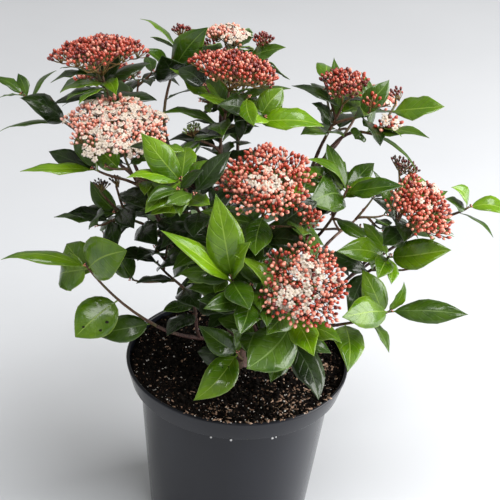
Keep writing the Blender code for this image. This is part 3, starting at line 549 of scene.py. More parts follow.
# Where the leading twig of each bough's foliage ends, in mm.
TWIG_ENDS = {
    "top": (-25, 0, 474), "left_white": (-115, -44, 425), "upper_right": (80, 18, 460),
    "centre": (15, -80, 402), "back": (-16, 98, 424), "low_left": (-145, -62, 315),
    "right_mid": (134, -42, 338), "front": (46, -112, 322), "back_low_left": (-98, 122, 285),
    "low_centre": (0, -88, 250), "back_low_right": (118, 122, 292), "upper_left": (-140, 0, 480),
    "far_left": (-214, 10, 450), "left_mid": (-122, -30, 356), "left_inner": (-80, -44, 312),
    "middle_left": (-78, 18, 350), "centre_left": (-60, -100, 434), "top_back_left": (-76, 70, 486),
    "top_back": (-26, 76, 480), "upper_right_out": (120, 4, 440), "right_inner": (90, -22, 395),
    "right_head": (150, -28, 368), "far_right": (210, 20, 362), "low_right": (140, -52, 284),
    "front_centre": (-10, -118, 350), "back_left": (-138, 92, 420), "back_right": (100, 92, 420),
}


def bend(start, heading, end, end_heading):
    """A smooth limb that leaves and arrives along two headings, as the four points of a cubic bend."""
    reach = BEND_HANDLE * (end - start).length
    return start, start + heading.normalized() * reach, end - end_heading.normalized() * reach, end


def along(limb, share):
    """The point and the heading at a share of a limb."""
    a, b, c, d = limb
    t, s = share, 1.0 - share
    point = a * s**3 + b * (3 * s * s * t) + c * (3 * s * t * t) + d * t**3
    heading = (b - a) * (s * s) + (c - b) * (2 * s * t) + (d - c) * (t * t)
    return point, heading.normalized()


def tapered(limbs, rings, slimmed=1.0):
    """Paths and radii of many limbs, each given as its bend and the radii of its foot and tip."""
    bends, feet, tips = zip(*limbs)
    radii = np.linspace(slimmed * np.array(feet), slimmed * np.array(tips), rings).T
    return courses(bends, rings), radii


def courses(limbs, rings):
    """Evenly shared points along many limbs at once: (limbs, rings, 3)."""
    t = np.linspace(0.0, 1.0, rings)[:, None]
    weights = np.hstack([(1 - t) ** 3, 3 * t * (1 - t) ** 2, 3 * t * t * (1 - t), t**3])
    return np.einsum("mk,nkd->nmd", weights, np.array([[tuple(p) for p in limb] for limb in limbs]))


def unit(vectors):
    """Vectors of length 1 along the last axis."""
    return vectors / np.maximum(np.linalg.norm(vectors, axis=-1, keepdims=True), 1e-9)


def tube(sides, rings):
    """A closed tube of radius 1 round Z, with its rings a step of 1 apart."""
    shape = bmesh.new()
    bmesh.ops.create_cone(shape, cap_ends=True, segments=sides, radius1=1.0, radius2=1.0, depth=rings - 1.0)
    long = [edge for edge in shape.edges if abs(edge.verts[0].co.z - edge.verts[1].co.z) > 0.5]
    bmesh.ops.subdivide_edges(shape, edges=long, cuts=rings - 2, use_grid_fill=True)
    return mesh_of("template", shape)


def swept(name, paths, radii, sides):
    """One mesh of round limbs: paths is (limbs, rings, 3) and radii is (limbs, rings)."""
    rings = paths.shape[1]
    template = tube(sides, rings)
    corners = corners_of(template)
    ring = np.rint(corners[:, 2] + 0.5 * (rings - 1)).astype(int)
    headings = unit(np.gradient(paths, axis=1))
    chord = unit(paths[:, -1] - paths[:, 0])
    flat = np.cross(chord, (0.0, 0.0, 1.0))
    flat = np.where(np.linalg.norm(flat, axis=1, keepdims=True) < 0.05, (1.0, 0.0, 0.0), flat)[:, None, :]
    side = unit(flat - headings * np.sum(flat * headings, axis=2, keepdims=True))
    upper = np.cross(headings, side)
    out = corners[:, 0, None] * side[:, ring] + corners[:, 1, None] * upper[:, ring]
    return repeated(name, template, paths[:, ring] + radii[:, ring, None] * out)


def foot_course(rings):
    """Points and radii of the foot, which leans a little and flares at the compost."""
    share = np.linspace(0.0, 1.0, rings)[:, None]
    lift = np.array(TRUNK_FORK - FOOT_BASE)
    points = np.array(FOOT_BASE) + lift * np.hstack([share**2, share**2, share])
    flare = np.exp(-((share / FLARE_HEIGHT) ** 1.2))[:, 0]
    return points, TRUNK_RADIUS * (1.0 - TRUNK_TAPER * share[:, 0]) + (ROOT_FLARE - TRUNK_RADIUS) * flare


def grow_boughs():
    """Every bough by name, as its bend and its two radii, from the foot outwards."""
    lift = TRUNK_FORK - FOOT_BASE
    middle = FOOT_BASE + Vector((0.0, 0.0, 0.5 * lift.z))
    foot = (FOOT_BASE, FOOT_BASE.lerp(middle, 2 / 3), TRUNK_FORK.lerp(middle, 2 / 3), TRUNK_FORK)
    grown = {"stem_foot": (foot, TRUNK_RADIUS, (1.0 - TRUNK_TAPER) * TRUNK_RADIUS)}
    for name, carrier, share, end_mm in BOUGHS:
        limb, carrier_foot, carrier_tip = grown[carrier]
        start, carrier_heading = along(limb, share)
        end = Vector(end_mm) * MM
        aim = (end - start).normalized()
        shoot = (Vector(TWIG_ENDS[name]) * MM - end).normalized()
        outward = Vector((aim.x, aim.y, 0.0)).normalized()
        leaving = aim + (0.7 * outward if carrier == "stem_foot" else 0.25 * carrier_heading)
        if share == 1.0:
            leaving = carrier_heading
        thickest = FORK_SHARE * (carrier_foot + (carrier_tip - carrier_foot) * share)
        radius = min(TWIG_RADIUS + BOUGH_TAPER * (end - start).length, thickest)
        grown[name] = (bend(start, leaving, end, shoot + 0.6 * aim), radius, TWIG_RADIUS)
    return grown


def scarred(paths, radii):
    """Radii with a swelling at each old leaf scar."""
    steps = np.linalg.norm(np.diff(paths, axis=1), axis=2)
    length = np.concatenate([np.zeros((len(paths), 1)), np.cumsum(steps, axis=1)], axis=1)
    off = (length + 0.5 * SCAR_SPACING) % SCAR_SPACING - 0.5 * SCAR_SPACING
    return radii + SCAR_HEIGHT * np.exp(-((off / SCAR_WIDTH) ** 2))


def roughened(mesh, depth):
    """Raises a bark's ridges and pits on a limb's mesh."""
    moved = []
    for vertex in mesh.vertices:
        place = vertex.co * Vector((RIDGES_ACROSS, RIDGES_ACROSS, RIDGES_ALONG))
        moved.append(vertex.co + vertex.normal * depth * noise.fractal(place, 1.0, 2.0, 2))
    mesh.vertices.foreach_set("co", np.array(moved, np.float32).ravel())
    mesh.update()
    return mesh


def bark_material(name, dark, light, green_share=0.0):
    """Thin ridged bark, from dark red-brown to a lighter tone along its ridges."""
    material, tree, inputs = new_material(name, Coat_Weight=0.05)
    grain = grained(tree, 90.0, 900.0, 0.3)
    ridge = spread(tree, grain["Fine"], 0.38, 0.62)
    tone = blended(tree, ridge, dark, light)
    patch = spread(tree, grain["Broad"], 0.50, 0.68, 0.0, green_share)
    feed(tree, inputs, Base_Color=blended(tree, patch, tone, GREEN_SKIN),
         Roughness=spread(tree, grain["Broad"], 0.3, 0.7, 0.55, 0.75))
    relief(tree, inputs, grain["Height"], 0.5, 0.5 * MM)
    return material


FOOT_RINGS = 48
FOOT_SIDES = 24
FOOT_RIDGES = 0.5 * MM
BOUGH_RINGS = 56
BOUGH_SIDES = 14
BOUGH_RIDGES = 0.35 * MM

boughs = grow_boughs()
bark = bark_material("bark", (0.030, 0.010, 0.009, 1.0), (0.110, 0.045, 0.035, 1.0), 0.25)
foot_points, foot_radii = foot_course(FOOT_RINGS)
foot_mesh = swept("woody_foot", foot_points[None], scarred(foot_points[None], foot_radii[None]), FOOT_SIDES)
foot_piece = add_piece("woody_foot", roughened(foot_mesh, FOOT_RIDGES), [bark])
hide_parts("stem_foot")

bough_paths, bough_radii = tapered([boughs[row[0]] for row in BOUGHS], BOUGH_RINGS, SLIMMED)
bough_mesh = swept("barked_boughs", bough_paths, scarred(bough_paths, bough_radii), BOUGH_SIDES)
bough_piece = add_piece("barked_boughs", roughened(bough_mesh, BOUGH_RIDGES), [bark])
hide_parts(*[row[0] + "_bough" for row in BOUGHS])

# ---------------------------------------------------------------- how the foliage grows
# Each bough carries on as a leading twig with forks and side shoots. Leaves stand on them in opposite pairs,
# each pair a quarter turn on from the last, and the youngest are the brightest. The darkest green is the
# leaves' own deep green with painted shade on it, given to leaves that lie in shade deep in the crown, at its
# back and on the old boughs.

NEW, BRIGHT, GREEN, DARK = range(4)
FRONT = Vector((0.0, -0.86, 0.51))
BACKWARDS = Vector((0.0, 1.0, 0.0))
LEAF_ARCH = 0.07
PAIR_OPENING = math.radians(58.0)
PAIR_SPACING = 27.0 * MM
PAIR_SIZES = (0.85, 1.12)
BLADE_WIDTHS = (0.40, 0.50)
TURNS_TRIED = [math.radians(turn) for turn in (0.0, 24.0, -24.0, 48.0, -48.0)]
SHORTER_EACH_TRY = 0.08
TWIG_LEAF = 56.0 * MM
SHOOT_LENGTH = 36.0 * MM
SHOOT_LEAF = 47.0 * MM
SIDE_SHOOT_LENGTH = 18.0 * MM
SIDE_SHOOT_LEAF = 30.0 * MM
SHOOT_PAIRS = (0.45, 0.95)
SHOOT_PLACES = (0.2, 0.85)
SHOOT_SIZES = (0.8, 1.2)
SHOOT_TRIES = 6
OLD_LEAF = 52.0 * MM
LONG_BOUGH = 90.0 * MM
GROW_SEED = 31

# A mass of foliage at the end of a bough: how many side shoots, forks (share of the leading twig,
# end), heads of flower (twig, diameter, centre, facing, kind) and leaves (twig, share, tip, width,
# green), all in mm. A leaf's sixth value says how far its blade is turned from the sky to the
# front of the plant. The rule grows no leaf tip below the lowest height.
Mass = namedtuple("Mass", "shoots forks heads leaves lowest", defaults=(0, (), (), (), 0.0))
MASSES = {
    "top": Mass(
        shoots=2, forks=[(0.40, (8, -16, 458)), (0.10, (-54, -8, 430))],
        heads=[
            (0, 86, (-20, 0, 498), (0.12, 0.10, 1.0), "coral"),
            (2, 22, (-57, -9, 438), (-0.2, -0.2, 1.0), "green"),
        ],
        leaves=[
            (0, 0.80, (-80, 10, 488), 24, BRIGHT), (0, 0.80, (30, 14, 478), 20, GREEN),
            (0, 0.42, (-86, -10, 452), 22, GREEN), (0, 0.12, (-80, 12, 412), 24, DARK),
            (1, 0.80, (62, -22, 460), 25, NEW), (1, 0.95, (0, -50, 470), 22, NEW),
            (1, 0.90, (24, 0, 481), 22, BRIGHT, 0.6),
        ],
    ),
    "left_white": Mass(
        shoots=2, forks=[(0.25, (-140, -55, 414))],
        heads=[(0, 98, (-122, -50, 455), (0.0, -0.18, 1.0), "open")],
        leaves=[
            (0, 0.75, (-82, -40, 428), 18, GREEN), (1, 0.95, (-204, -70, 415), 17, NEW),
            (1, 0.88, (-185, -28, 414), 20, DARK), (1, 0.90, (-135, -84, 456), 22, BRIGHT, 0.5),
        ],
    ),
    "upper_right": Mass(
        shoots=2, forks=[(0.45, (104, 6, 460))],
        heads=[
            (0, 52, (80, 18, 483), (0.0, -0.15, 1.0), "coral"),
            (1, 16, (107, 4, 474), (0.3, -0.3, 1.0), "coral"),
        ],
        leaves=[
            (0, 0.60, (69, 46, 495), 15, GREEN, 0.7), (0, 0.90, (34, 0, 487), 16, DARK, 0.3),
            (0, 0.50, (54, 0, 470), 18, DARK, 0.4),
            (0, 0.25, (44, -26, 452), 18, GREEN), (0, 0.25, (82, -20, 446), 13, GREEN, 0.5),
            (1, 0.60, (98, -35, 478), 13, GREEN),
        ],
    ),
    "centre": Mass(
        shoots=2, forks=[(0.45, (48, -84, 388))],
        heads=[
            (0, 86, (15, -92, 434), (0.0, -0.50, 1.0), "opening"),
            (1, 26, (58, -90, 402), (0.4, -0.4, 1.0), "coral"),
        ],
        leaves=[(0, 0.55, (-32, -92, 398), 24, GREEN), (0, 0.20, (62, -62, 372), 24, GREEN)],
    ),
    "back": Mass(
        shoots=4, forks=[(0.30, (10, 118, 398))],
        heads=[(0, 74, (-20, 108, 440), (0.0, 0.45, 1.0), "coral")],
    ),
    "low_left": Mass(
        leaves=[
            (0, 0.50, (-152, -84, 250), 40, BRIGHT, 0.9), (0, 0.97, (-220, -80, 330), 22, BRIGHT),
            (0, 0.97, (-108, -92, 352), 42, BRIGHT, 1.0), (0, 0.88, (-169, -30, 319), 32, BRIGHT, 0.8),
            (0, 0.97, (-176, -42, 291), 37, BRIGHT, 0.8), (0, 0.05, (-136, -52, 232), 28, GREEN, 0.6),
        ],
    ),
    "right_mid": Mass(
        shoots=1,
        leaves=[
            (0, 0.95, (186, -62, 362), 29, BRIGHT, 0.7), (0, 0.88, (86, -62, 352), 24, BRIGHT, 0.6),
            (0, 0.95, (136, -74, 328), 15, NEW), (0, 0.05, (101, -70, 292), 22, DARK, 0.4),
            (0, 0.10, (75, -40, 334), 20, DARK, 0.4),
        ],
    ),
    "front": Mass(
        shoots=1,
        heads=[(0, 84, (55, -134, 358), (0.12, -0.85, 0.62), "opening")],
        leaves=[
            (0, 0.45, (10, -168, 288), 44, GREEN, 0.7), (0, 0.66, (66, -164, 306), 26, NEW, 0.6),
            (0, 0.08, (76, -152, 248), 30, DARK), (0, 0.66, (0, -130, 384), 26, BRIGHT),
        ],
    ),
    "back_low_left": Mass(shoots=4, forks=[(0.30, (-40, 132, 262))]),
    "low_centre": Mass(
        leaves=[
            (0, 0.88, (-35, -130, 222), 30, BRIGHT, 0.7), (0, 0.88, (-36, -90, 276), 24, GREEN, 0.8),
            (0, 0.96, (-4, -106, 286), 15, GREEN), (0, 0.50, (-38, -64, 230), 26, DARK),
        ],
    ),
    "back_low_right": Mass(shoots=4, forks=[(0.30, (60, 136, 262))]),
    "upper_left": Mass(
        shoots=2,
        heads=[(0, 89, (-145, 2, 503), (-0.16, 0.15, 1.0), "coral")],
        leaves=[
            (0, 0.86, (-176, -20, 474), 22, BRIGHT), (0, 0.86, (-98, 18, 488), 26, DARK),
            (0, 0.58, (-186, 2, 449), 20, DARK), (0, 0.70, (-156, -46, 478), 16, BRIGHT),
            (0, 0.58, (-90, -8, 466), 22, DARK), (0, 0.86, (-124, -38, 482), 15, BRIGHT),
        ],
    ),
    "far_left": Mass(
        leaves=[
            (0, 0.96, (-244, 20, 462), 12, GREEN), (0, 0.96, (-234, -10, 456), 14, GREEN),
            (0, 0.80, (-188, 32, 468), 12, GREEN), (0, 0.08, (-209, -26, 465), 25, DARK, 0.7),
            (0, 0.06, (-234, -12, 420), 16, GREEN), (0, 0.90, (-222, 30, 462), 12, GREEN),
        ],
    ),
    "left_mid": Mass(
        shoots=2, forks=[(0.45, (-135, -46, 386)), (0.55, (-121, -42, 390))],
        heads=[
            (1, 22, (-134, -46, 395), (0.0, 0.0, 1.0), "dried"),
            (2, 16, (-121, -41, 398), (0.0, 0.0, 1.0), "dried"),
        ],
        leaves=[
            (0, 0.95, (-178, -42, 352), 18, GREEN), (0, 0.50, (-122, -58, 342), 24, DARK),
            (0, 0.20, (-82, -70, 352), 26, DARK), (0, 0.88, (-150, -2, 372), 18, GREEN),
        ],
    ),
    "left_inner": Mass(
        shoots=2, lowest=290,
        leaves=[
            (0, 0.90, (-118, -60, 330), 24, DARK), (0, 0.50, (-98, -66, 304), 20, DARK),
            (0, 0.90, (-55, -84, 342), 24, DARK), (0, 0.20, (-40, -84, 296), 24, DARK),
        ],
    ),
    "middle_left": Mass(
        shoots=5,
        leaves=[(0, 0.10, (-87, -30, 316), 22, DARK, 0.5), (0, 0.40, (-84, -30, 336), 20, DARK, 0.4)],
    ),
    "centre_left": Mass(
        shoots=2,
        leaves=[
            (0, 0.92, (-92, -112, 480), 26, BRIGHT, 0.6), (0, 0.92, (-102, -128, 452), 19, NEW),
            (0, 0.80, (-30, -98, 452), 18, BRIGHT), (0, 0.35, (-74, -128, 418), 16, NEW),
            (0, 0.35, (-32, -124, 424), 18, NEW),
        ],
    ),
    "top_back_left": Mass(
        heads=[(0, 22, (-75, 72, 502), (0.0, 0.0, 1.0), "maroon")],
        leaves=[
            (0, 0.66, (-52, 46, 514), 30, GREEN, 0.8), (0, 0.92, (-112, 84, 506), 14, BRIGHT),
            (0, 0.92, (-102, 58, 498), 14, GREEN), (0, 0.62, (-106, 40, 492), 17, GREEN, 0.6),
            (0, 0.55, (-88, 22, 492), 32, DARK, 0.9), (0, 0.30, (-53, 30, 460), 16, DARK),
        ],
    ),
    "top_back": Mass(
        shoots=2, forks=[(0.55, (-44, 70, 478)), (0.60, (2, 70, 486))],
        heads=[
            (0, 48, (-32, 82, 495), (0.0, 0.0, 1.0), "pale"),
            (1, 20, (-47, 70, 490), (0.0, 0.0, 1.0), "maroon"),
            (2, 28, (3, 70, 500), (0.0, 0.0, 1.0), "maroon"),
        ],
        leaves=[(0, 0.50, (-14, 40, 500), 24, BRIGHT), (2, 0.20, (21, 52, 501), 24, GREEN, 0.5)],
    ),
    "upper_right_out": Mass(
        forks=[(0.60, (130, 36, 456))],
        heads=[
            (0, 24, (123, -6, 456), (0.2, -0.5, 1.0), "opening"),
            (1, 18, (131, 38, 470), (0.0, 0.0, 1.0), "maroon"),
        ],
        leaves=[
            (1, 0.80, (172, 10, 470), 27, BRIGHT, 0.6), (0, 0.60, (156, -26, 459), 18, GREEN, 0.4),
            (0, 0.50, (100, 48, 482), 22, GREEN), (0, 0.35, (155, -10, 417), 9, GREEN),
            (0, 0.40, (133, -30, 458), 12, BRIGHT), (0, 0.30, (94, 5, 433), 18, GREEN, 0.6),
        ],
    ),
    "right_inner": Mass(
        shoots=3, forks=[(0.35, (104, -14, 352))],
        leaves=[
            (0, 0.92, (138, -40, 414), 22, GREEN, 0.4), (0, 0.84, (56, -62, 400), 36, GREEN, 0.8),
            (0, 0.96, (52, -34, 431), 16, BRIGHT), (0, 0.98, (68, 0, 428), 20, GREEN, 0.4),
            (0, 0.86, (114, 8, 410), 20, GREEN),
            (1, 0.10, (116, -44, 355), 16, GREEN, 0.5), (0, 0.80, (123, -20, 406), 17, BRIGHT, 0.3),
        ],
    ),
    "right_head": Mass(
        shoots=2, forks=[(0.30, (140, 12, 390))],
        heads=[
            (0, 76, (159, -40, 391), (0.55, -0.35, 1.0), "loose"),
            (1, 36, (142, 16, 404), (0.1, 0.0, 1.0), "purple"),
        ],
        leaves=[
            (0, 0.30, (116, -28, 392), 20, DARK), (1, 0.40, (186, 8, 384), 20, BRIGHT, 0.4),
            (1, 0.20, (114, 0, 405), 14, GREEN, 0.4),
        ],
    ),
    "far_right": Mass(
        leaves=[
            (0, 0.96, (250, 18, 362), 19, NEW, 0.4), (0, 0.90, (192, 2, 393), 18, NEW, 0.5),
            (0, 0.60, (234, -6, 350), 12, GREEN), (0, 0.85, (186, 5, 379), 14, GREEN, 0.4),
        ],
    ),
    "low_right": Mass(
        leaves=[
            (0, 0.96, (212, -62, 293), 24, GREEN, 0.6), (0, 0.88, (112, -56, 328), 26, BRIGHT, 0.8),
            (0, 0.96, (93, -102, 306), 31, BRIGHT, 0.7), (0, 0.96, (152, -50, 314), 15, BRIGHT),
            (0, 0.60, (142, -84, 262), 15, GREEN), (0, 0.10, (104, -112, 258), 30, BRIGHT, 0.8),
        ],
    ),
    "front_centre": Mass(
        shoots=3,
        leaves=[
            (0, 0.96, (-26, -122, 430), 34, BRIGHT), (0, 0.88, (-70, -140, 406), 22, NEW),
            (0, 0.90, (4, -130, 394), 24, BRIGHT), (0, 0.30, (-38, -142, 338), 26, DARK),
        ],
    ),
    "back_left": Mass(
        shoots=4, forks=[(0.30, (-100, 108, 388))],
        heads=[(0, 70, (-146, 96, 438), (-0.20, 0.25, 1.0), "coral")],
    ),
    "back_right": Mass(
        shoots=3, forks=[(0.30, (72, 112, 386))],
        heads=[(0, 72, (104, 94, 438), (0.15, 0.25, 1.0), "opening")],
    ),
}

# Lanes that stay open right through the crown, where no shoot took. Each runs straight from one
# place high in front of the plant; here are its middle's x and height and its radius, in mm.
LANES_FROM = Vector((5.0, -1288.0, 1077.0)) * MM
OPENINGS = [
    (28, 421, 17), (47, 421, 13), (9, 426, 11), (-75, 260, 12), (-90, 255, 11), (-113, 253, 10),
    (-167, 315, 10), (-147, 309, 9), (107, 367, 14), (96, 357, 9), (80, 338, 12), (92, 332, 9),
    (-156, 363, 13), (-171, 364, 9), (-60, 458, 10), (-73, 454, 7), (-97, 315, 10), (182, 294, 13),
    (158, 298, 8), (29, 479, 8), (1, 539, 8), (141, 440, 6), (198, 323, 8), (-137, 366, 12),
    (-115, 377, 9), (-104, 388, 7), (-73, 426, 8), (23, 507, 8), (69, 471, 8), (169, 275, 10),
    (-99, 462, 9), (172, 399, 6), (46, 501, 7), (41, 464, 5), (89, 436, 6), (73, 430, 7),
]

# The coarse shapes that are tested for room. Along a limb: shares of its length. Up a head: size
# and height of each ring beside the head's radius. Along a blade: share of its length, and its
# half-width there beside its whole width, for its sheet and for its reach into an opening.
LIMB_STATIONS = (0.0, 0.25, 0.5, 0.75, 1.0)
HEAD_STATIONS = ((0.02, -0.30), (0.75, -0.14), (1.0, 0.0), (0.75, 0.2), (0.02, 0.28))
HEAD_SIDES = 10
BLADE_STATIONS = ((0.22, 0.35), (0.50, 0.5), (0.80, 0.3))
REACH_STATIONS = ((0.3, 0.3), (0.55, 0.4), (0.8, 0.25), (1.0, 0.0))

standing = []
leaves = {NEW: [], BRIGHT: [], GREEN: [], DARK: []}
twigs = []
shoot_tips = []


def shell_of(rings):
    """A tree of faces between closed rings of points, to test for room."""
    corners = [point for ring in rings for point in ring]
    size = len(rings[0])
    faces = []
    for k in range(len(rings) - 1):
        for i in range(size):
            j = (i + 1) % size
            faces.append((k * size + i, k * size + j, (k + 1) * size + j, (k + 1) * size + i))
    return BVHTree.FromPolygons(corners, faces)


def square_to(heading, up):
    """Side and upper directions square to a heading."""
    side = heading.cross(up).normalized()
    return side, side.cross(heading).normalized()


def across(heading):
    """A direction that is never along the heading."""
    return UP if abs(heading.z) < 0.9 else BACKWARDS


def swung(side, upper, angle):
    """The direction at an angle round from the side towards the upper one."""
    return math.cos(angle) * side + math.sin(angle) * upper


def limb_shell(limb, radius):
    """A coarse square tube round a limb."""
    rings = []
    for share in LIMB_STATIONS:
        point, heading = along(limb, share)
        side, upper = square_to(heading, across(heading))
        rings.append([point + out * radius for out in (side, upper, -side, -upper)])
    return shell_of(rings)


def head_shell(centre, axis, radius):
    """A coarse dome in the place of a head of flower."""
    side, upper = square_to(axis, BACKWARDS)
    angles = [2.0 * math.pi * i / HEAD_SIDES for i in range(HEAD_SIDES)]
    rings = []
    for size, height in HEAD_STATIONS:
        middle = centre + axis * height * radius
        rings.append([middle + swung(side, upper, angle) * size * radius for angle in angles])
    return shell_of(rings)


def blade_shell(root, tip, up, width):
    """A coarse sheet in a blade's place, from past its stalk to its point."""
    lift = tip - root
    side, upper = square_to(lift.normalized(), up)
    corners = []
    for share, fullness in BLADE_STATIONS:
        middle = root + lift * share + upper * (LEAF_ARCH * lift.length * 4.0 * share * (1.0 - share))
        corners += [middle - side * width * fullness, middle + side * width * fullness]
    corners.append(tip)
    return BVHTree.FromPolygons(corners, [(0, 1, 3, 2), (2, 3, 5, 4), (4, 5, 6)])


def upward(root, twig_heading):
    """The way a leaf's upper face looks: up and out to the light, and a little to the twig's tip."""
    outward = Vector((root.x, root.y, 0.0)).normalized()
    return UP + 0.4 * twig_heading + 0.5 * outward


def is_inside(point, space):
    """Whether a point lies in a space given by its lowest and highest corners."""
    return all(low <= value <= high for low, value, high in zip(space[0], point, space[1]))


def fills_opening(root, tip, width):
    """Whether a blade would reach into one of the crown's openings."""
    for x, height, radius in OPENINGS:
        middle = Vector((x, 0.0, height)) * MM
        for share, fullness in REACH_STATIONS:
            place = root.lerp(tip, share)
            nearest, _ = intersect_point_line(place, LANES_FROM, middle)
            if (place - nearest).length < radius * MM + fullness * width:
                return True
    return False


def try_leaf(space, root, tip, up, width, green):
    """Grows a leaf if it keeps to the space, leaves the openings free and touches nothing."""
    if not is_inside(tip, space) or fills_opening(root, tip, width):
        return False
    shell = blade_shell(root, tip, up, width)
    if any(shell.overlap(other) for other in standing):
        return False
    standing.append(shell)
    leaves[green].append((root, tip, up, width))
    return True


def grow_pairs(space, limb, shares, length, turn, greens, chance):
    """Opposite leaf pairs along a twig, each a quarter turn on from the last; gives how many grew."""
    count = 0
    for k, share in enumerate(shares):
        root, heading = along(limb, share)
        side, upper = square_to(heading, across(heading))
        for hand in (-1.0, 1.0):
            size = length * chance.uniform(*PAIR_SIZES)
            for attempt, extra_turn in enumerate(TURNS_TRIED):
                angle = turn + k * math.pi / 2.0 + extra_turn
                opening = PAIR_OPENING + chance.uniform(-0.2, 0.2)
                out = hand * swung(side, upper, angle)
                aim = heading * math.cos(opening) + out * math.sin(opening)
                aim.z = 0.5 * aim.z - chance.uniform(0.0, 0.2)
                tip = root + aim.normalized() * size * (1.0 - SHORTER_EACH_TRY * attempt)
                width = size * chance.uniform(*BLADE_WIDTHS)
                if try_leaf(space, root, tip, upward(root, heading), width, chance.choice(greens)):
                    count += 1
                    break
    return count


def grow_shoot(space, limb, length, leaf_length, greens, chance):
    """A side shoot at a seeded place on a twig, with its pairs of leaves and a tip."""
    root, heading = along(limb, chance.uniform(*SHOOT_PLACES))
    side, upper = square_to(heading, across(heading))
    for _ in range(SHOOT_TRIES):
        angle = chance.uniform(0.0, 2.0 * math.pi)
        aim = (heading + 1.1 * swung(side, upper, angle) + 0.2 * UP).normalized()
        end = root + aim * length * chance.uniform(*SHOOT_SIZES)
        shoot = bend(root, aim, end, aim + 0.4 * UP)
        shell = limb_shell((along(shoot, 0.25)[0], *shoot[1:]), TWIG_END_RADIUS)
        if is_inside(end, space) and not any(shell.overlap(other) for other in standing):
            standing.append(shell)
            if not grow_pairs(space, shoot, SHOOT_PAIRS, leaf_length, angle, greens, chance):
                standing.pop()
                return None
            twigs.append((shoot, 0.7 * TWIG_RADIUS, 0.5 * TWIG_END_RADIUS))
            shoot_tips.append(along(shoot, 1.0))
            return shoot
    return None


def grow_mass_wood(name, mass):
    """The leading twig and forks of a mass, with room kept for its heads."""
    tip, heading = along(boughs[name][0], 1.0)
    end = Vector(TWIG_ENDS[name]) * MM
    lead = bend(tip, heading, end, (end - tip).normalized() + 0.3 * UP)
    limbs = [lead]
    for share, fork_end in mass.forks:
        root, along_lead = along(lead, share)
        end = Vector(fork_end) * MM
        aim = (end - root).normalized()
        limbs.append(bend(root, aim + 0.5 * along_lead, end, aim + 0.3 * UP))
    for limb in limbs:
        twigs.append((limb, SLIMMED * TWIG_RADIUS, 0.9 * SLIMMED * TWIG_END_RADIUS))
        standing.append(limb_shell((along(limb, 0.1)[0], *limb[1:]), 0.8 * TWIG_END_RADIUS))
    for _, diameter, centre, facing, _ in mass.heads:
        standing.append(head_shell(Vector(centre) * MM, Vector(facing).normalized(), 0.5 * diameter * MM))
    return limbs


def grow_named_leaves(mass, limbs):
    """The leaves that are placed one by one."""
    for twig, share, tip_mm, width, green, *turned in mass.leaves:
        root, heading = along(limbs[twig], share)
        tip = Vector(tip_mm) * MM
        up = upward(root, heading).normalized().lerp(FRONT, turned[0] if turned else 0.0)
        standing.append(blade_shell(root, tip, up, width * MM))
        leaves[green].append((root, tip, up, width * MM))


SPACE_MARGIN = Vector((5.0, 5.0, 3.0)) * MM
# Masses deep in the crown and at the back take the darkest greens, their own deep green with painted shade on
# it.
SHADED = ("left_inner", "middle_left", "left_mid")
SHADED_GREENS = (DARK, DARK, GREEN)
OUTER_GREENS = (BRIGHT, GREEN, GREEN, DARK)
FIRST_PAIR = 0.1
LAST_PAIR = 0.93
LAST_PAIR_UNDER_HEAD = 0.76


def grow_rule_leaves(name, mass, limbs, chance):
    """Pairs along the twigs of a mass, then its side shoots, inside its foliage solid."""
    low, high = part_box(name + "_foliage")
    low, high = low - SPACE_MARGIN, high + SPACE_MARGIN
    low.z = max(low.z, mass.lowest * MM)
    space = (low, high)
    greens = SHADED_GREENS if name in SHADED or name.startswith("back") else OUTER_GREENS
    for i, limb in enumerate(limbs):
        has_head = any(head[0] == i for head in mass.heads)
        if not has_head:
            shoot_tips.append(along(limb, 1.0))
        if mass.shoots:
            pairs = max(1, round((limb[3] - limb[0]).length / PAIR_SPACING))
            last = LAST_PAIR_UNDER_HEAD if has_head else LAST_PAIR
            shares = [last - (last - FIRST_PAIR) * k / pairs for k in range(pairs)]
            grow_pairs(space, limb, shares, TWIG_LEAF, chance.uniform(0.0, math.pi), greens, chance)
    for _ in range(mass.shoots):
        shoot = grow_shoot(space, limbs[0], SHOOT_LENGTH, SHOOT_LEAF, greens, chance)
        if shoot:
            grow_shoot(space, shoot, SIDE_SHOOT_LENGTH, SIDE_SHOOT_LEAF, greens, chance)


# The boughs that still carry last year's leaves; the others are bare.
OLD_LEAVED = (
    "top", "left_white", "centre", "back", "back_low_left", "back_low_right", "upper_left", "left_mid",
    "left_inner", "middle_left", "centre_left", "top_back_left", "top_back", "right_inner", "front",
    "front_centre", "back_left",
)
LOWEST_OLD_LEAF = 245.0 * MM
OLD_MARGIN = Vector((15.0, 15.0, 5.0)) * MM
OLD_PAIRS = (0.42, 0.56, 0.70, 0.84, 0.96)
OLD_PAIRS_WHEN_SHORT = (0.55, 0.80)


def grow_bough_leaves(name, chance):
    """Older pairs that still stand along the outer part of a bough, dark with age and with painted shade."""
    limb = boughs[name][0]
    shares = OLD_PAIRS if (limb[3] - limb[0]).length > LONG_BOUGH else OLD_PAIRS_WHEN_SHORT
    low, high = cad_box
    lowest = Vector((low[0] + OLD_MARGIN.x, low[1] + OLD_MARGIN.y, LOWEST_OLD_LEAF))
    space = (lowest, Vector(high) - OLD_MARGIN)
    grow_pairs(space, limb, shares, OLD_LEAF, chance.uniform(0.0, math.pi), SHADED_GREENS, chance)


for row in BOUGHS:
    standing.append(limb_shell(boughs[row[0]][0], boughs[row[0]][2]))
grown = {name: grow_mass_wood(name, mass) for name, mass in MASSES.items()}
for name, mass in MASSES.items():
    grow_named_leaves(mass, grown[name])
for order, (name, mass) in enumerate(MASSES.items()):
    grow_rule_leaves(name, mass, grown[name], random.Random(GROW_SEED + order))
for order, name in enumerate(OLD_LEAVED):
    grow_bough_leaves(name, random.Random(3 * GROW_SEED + order))

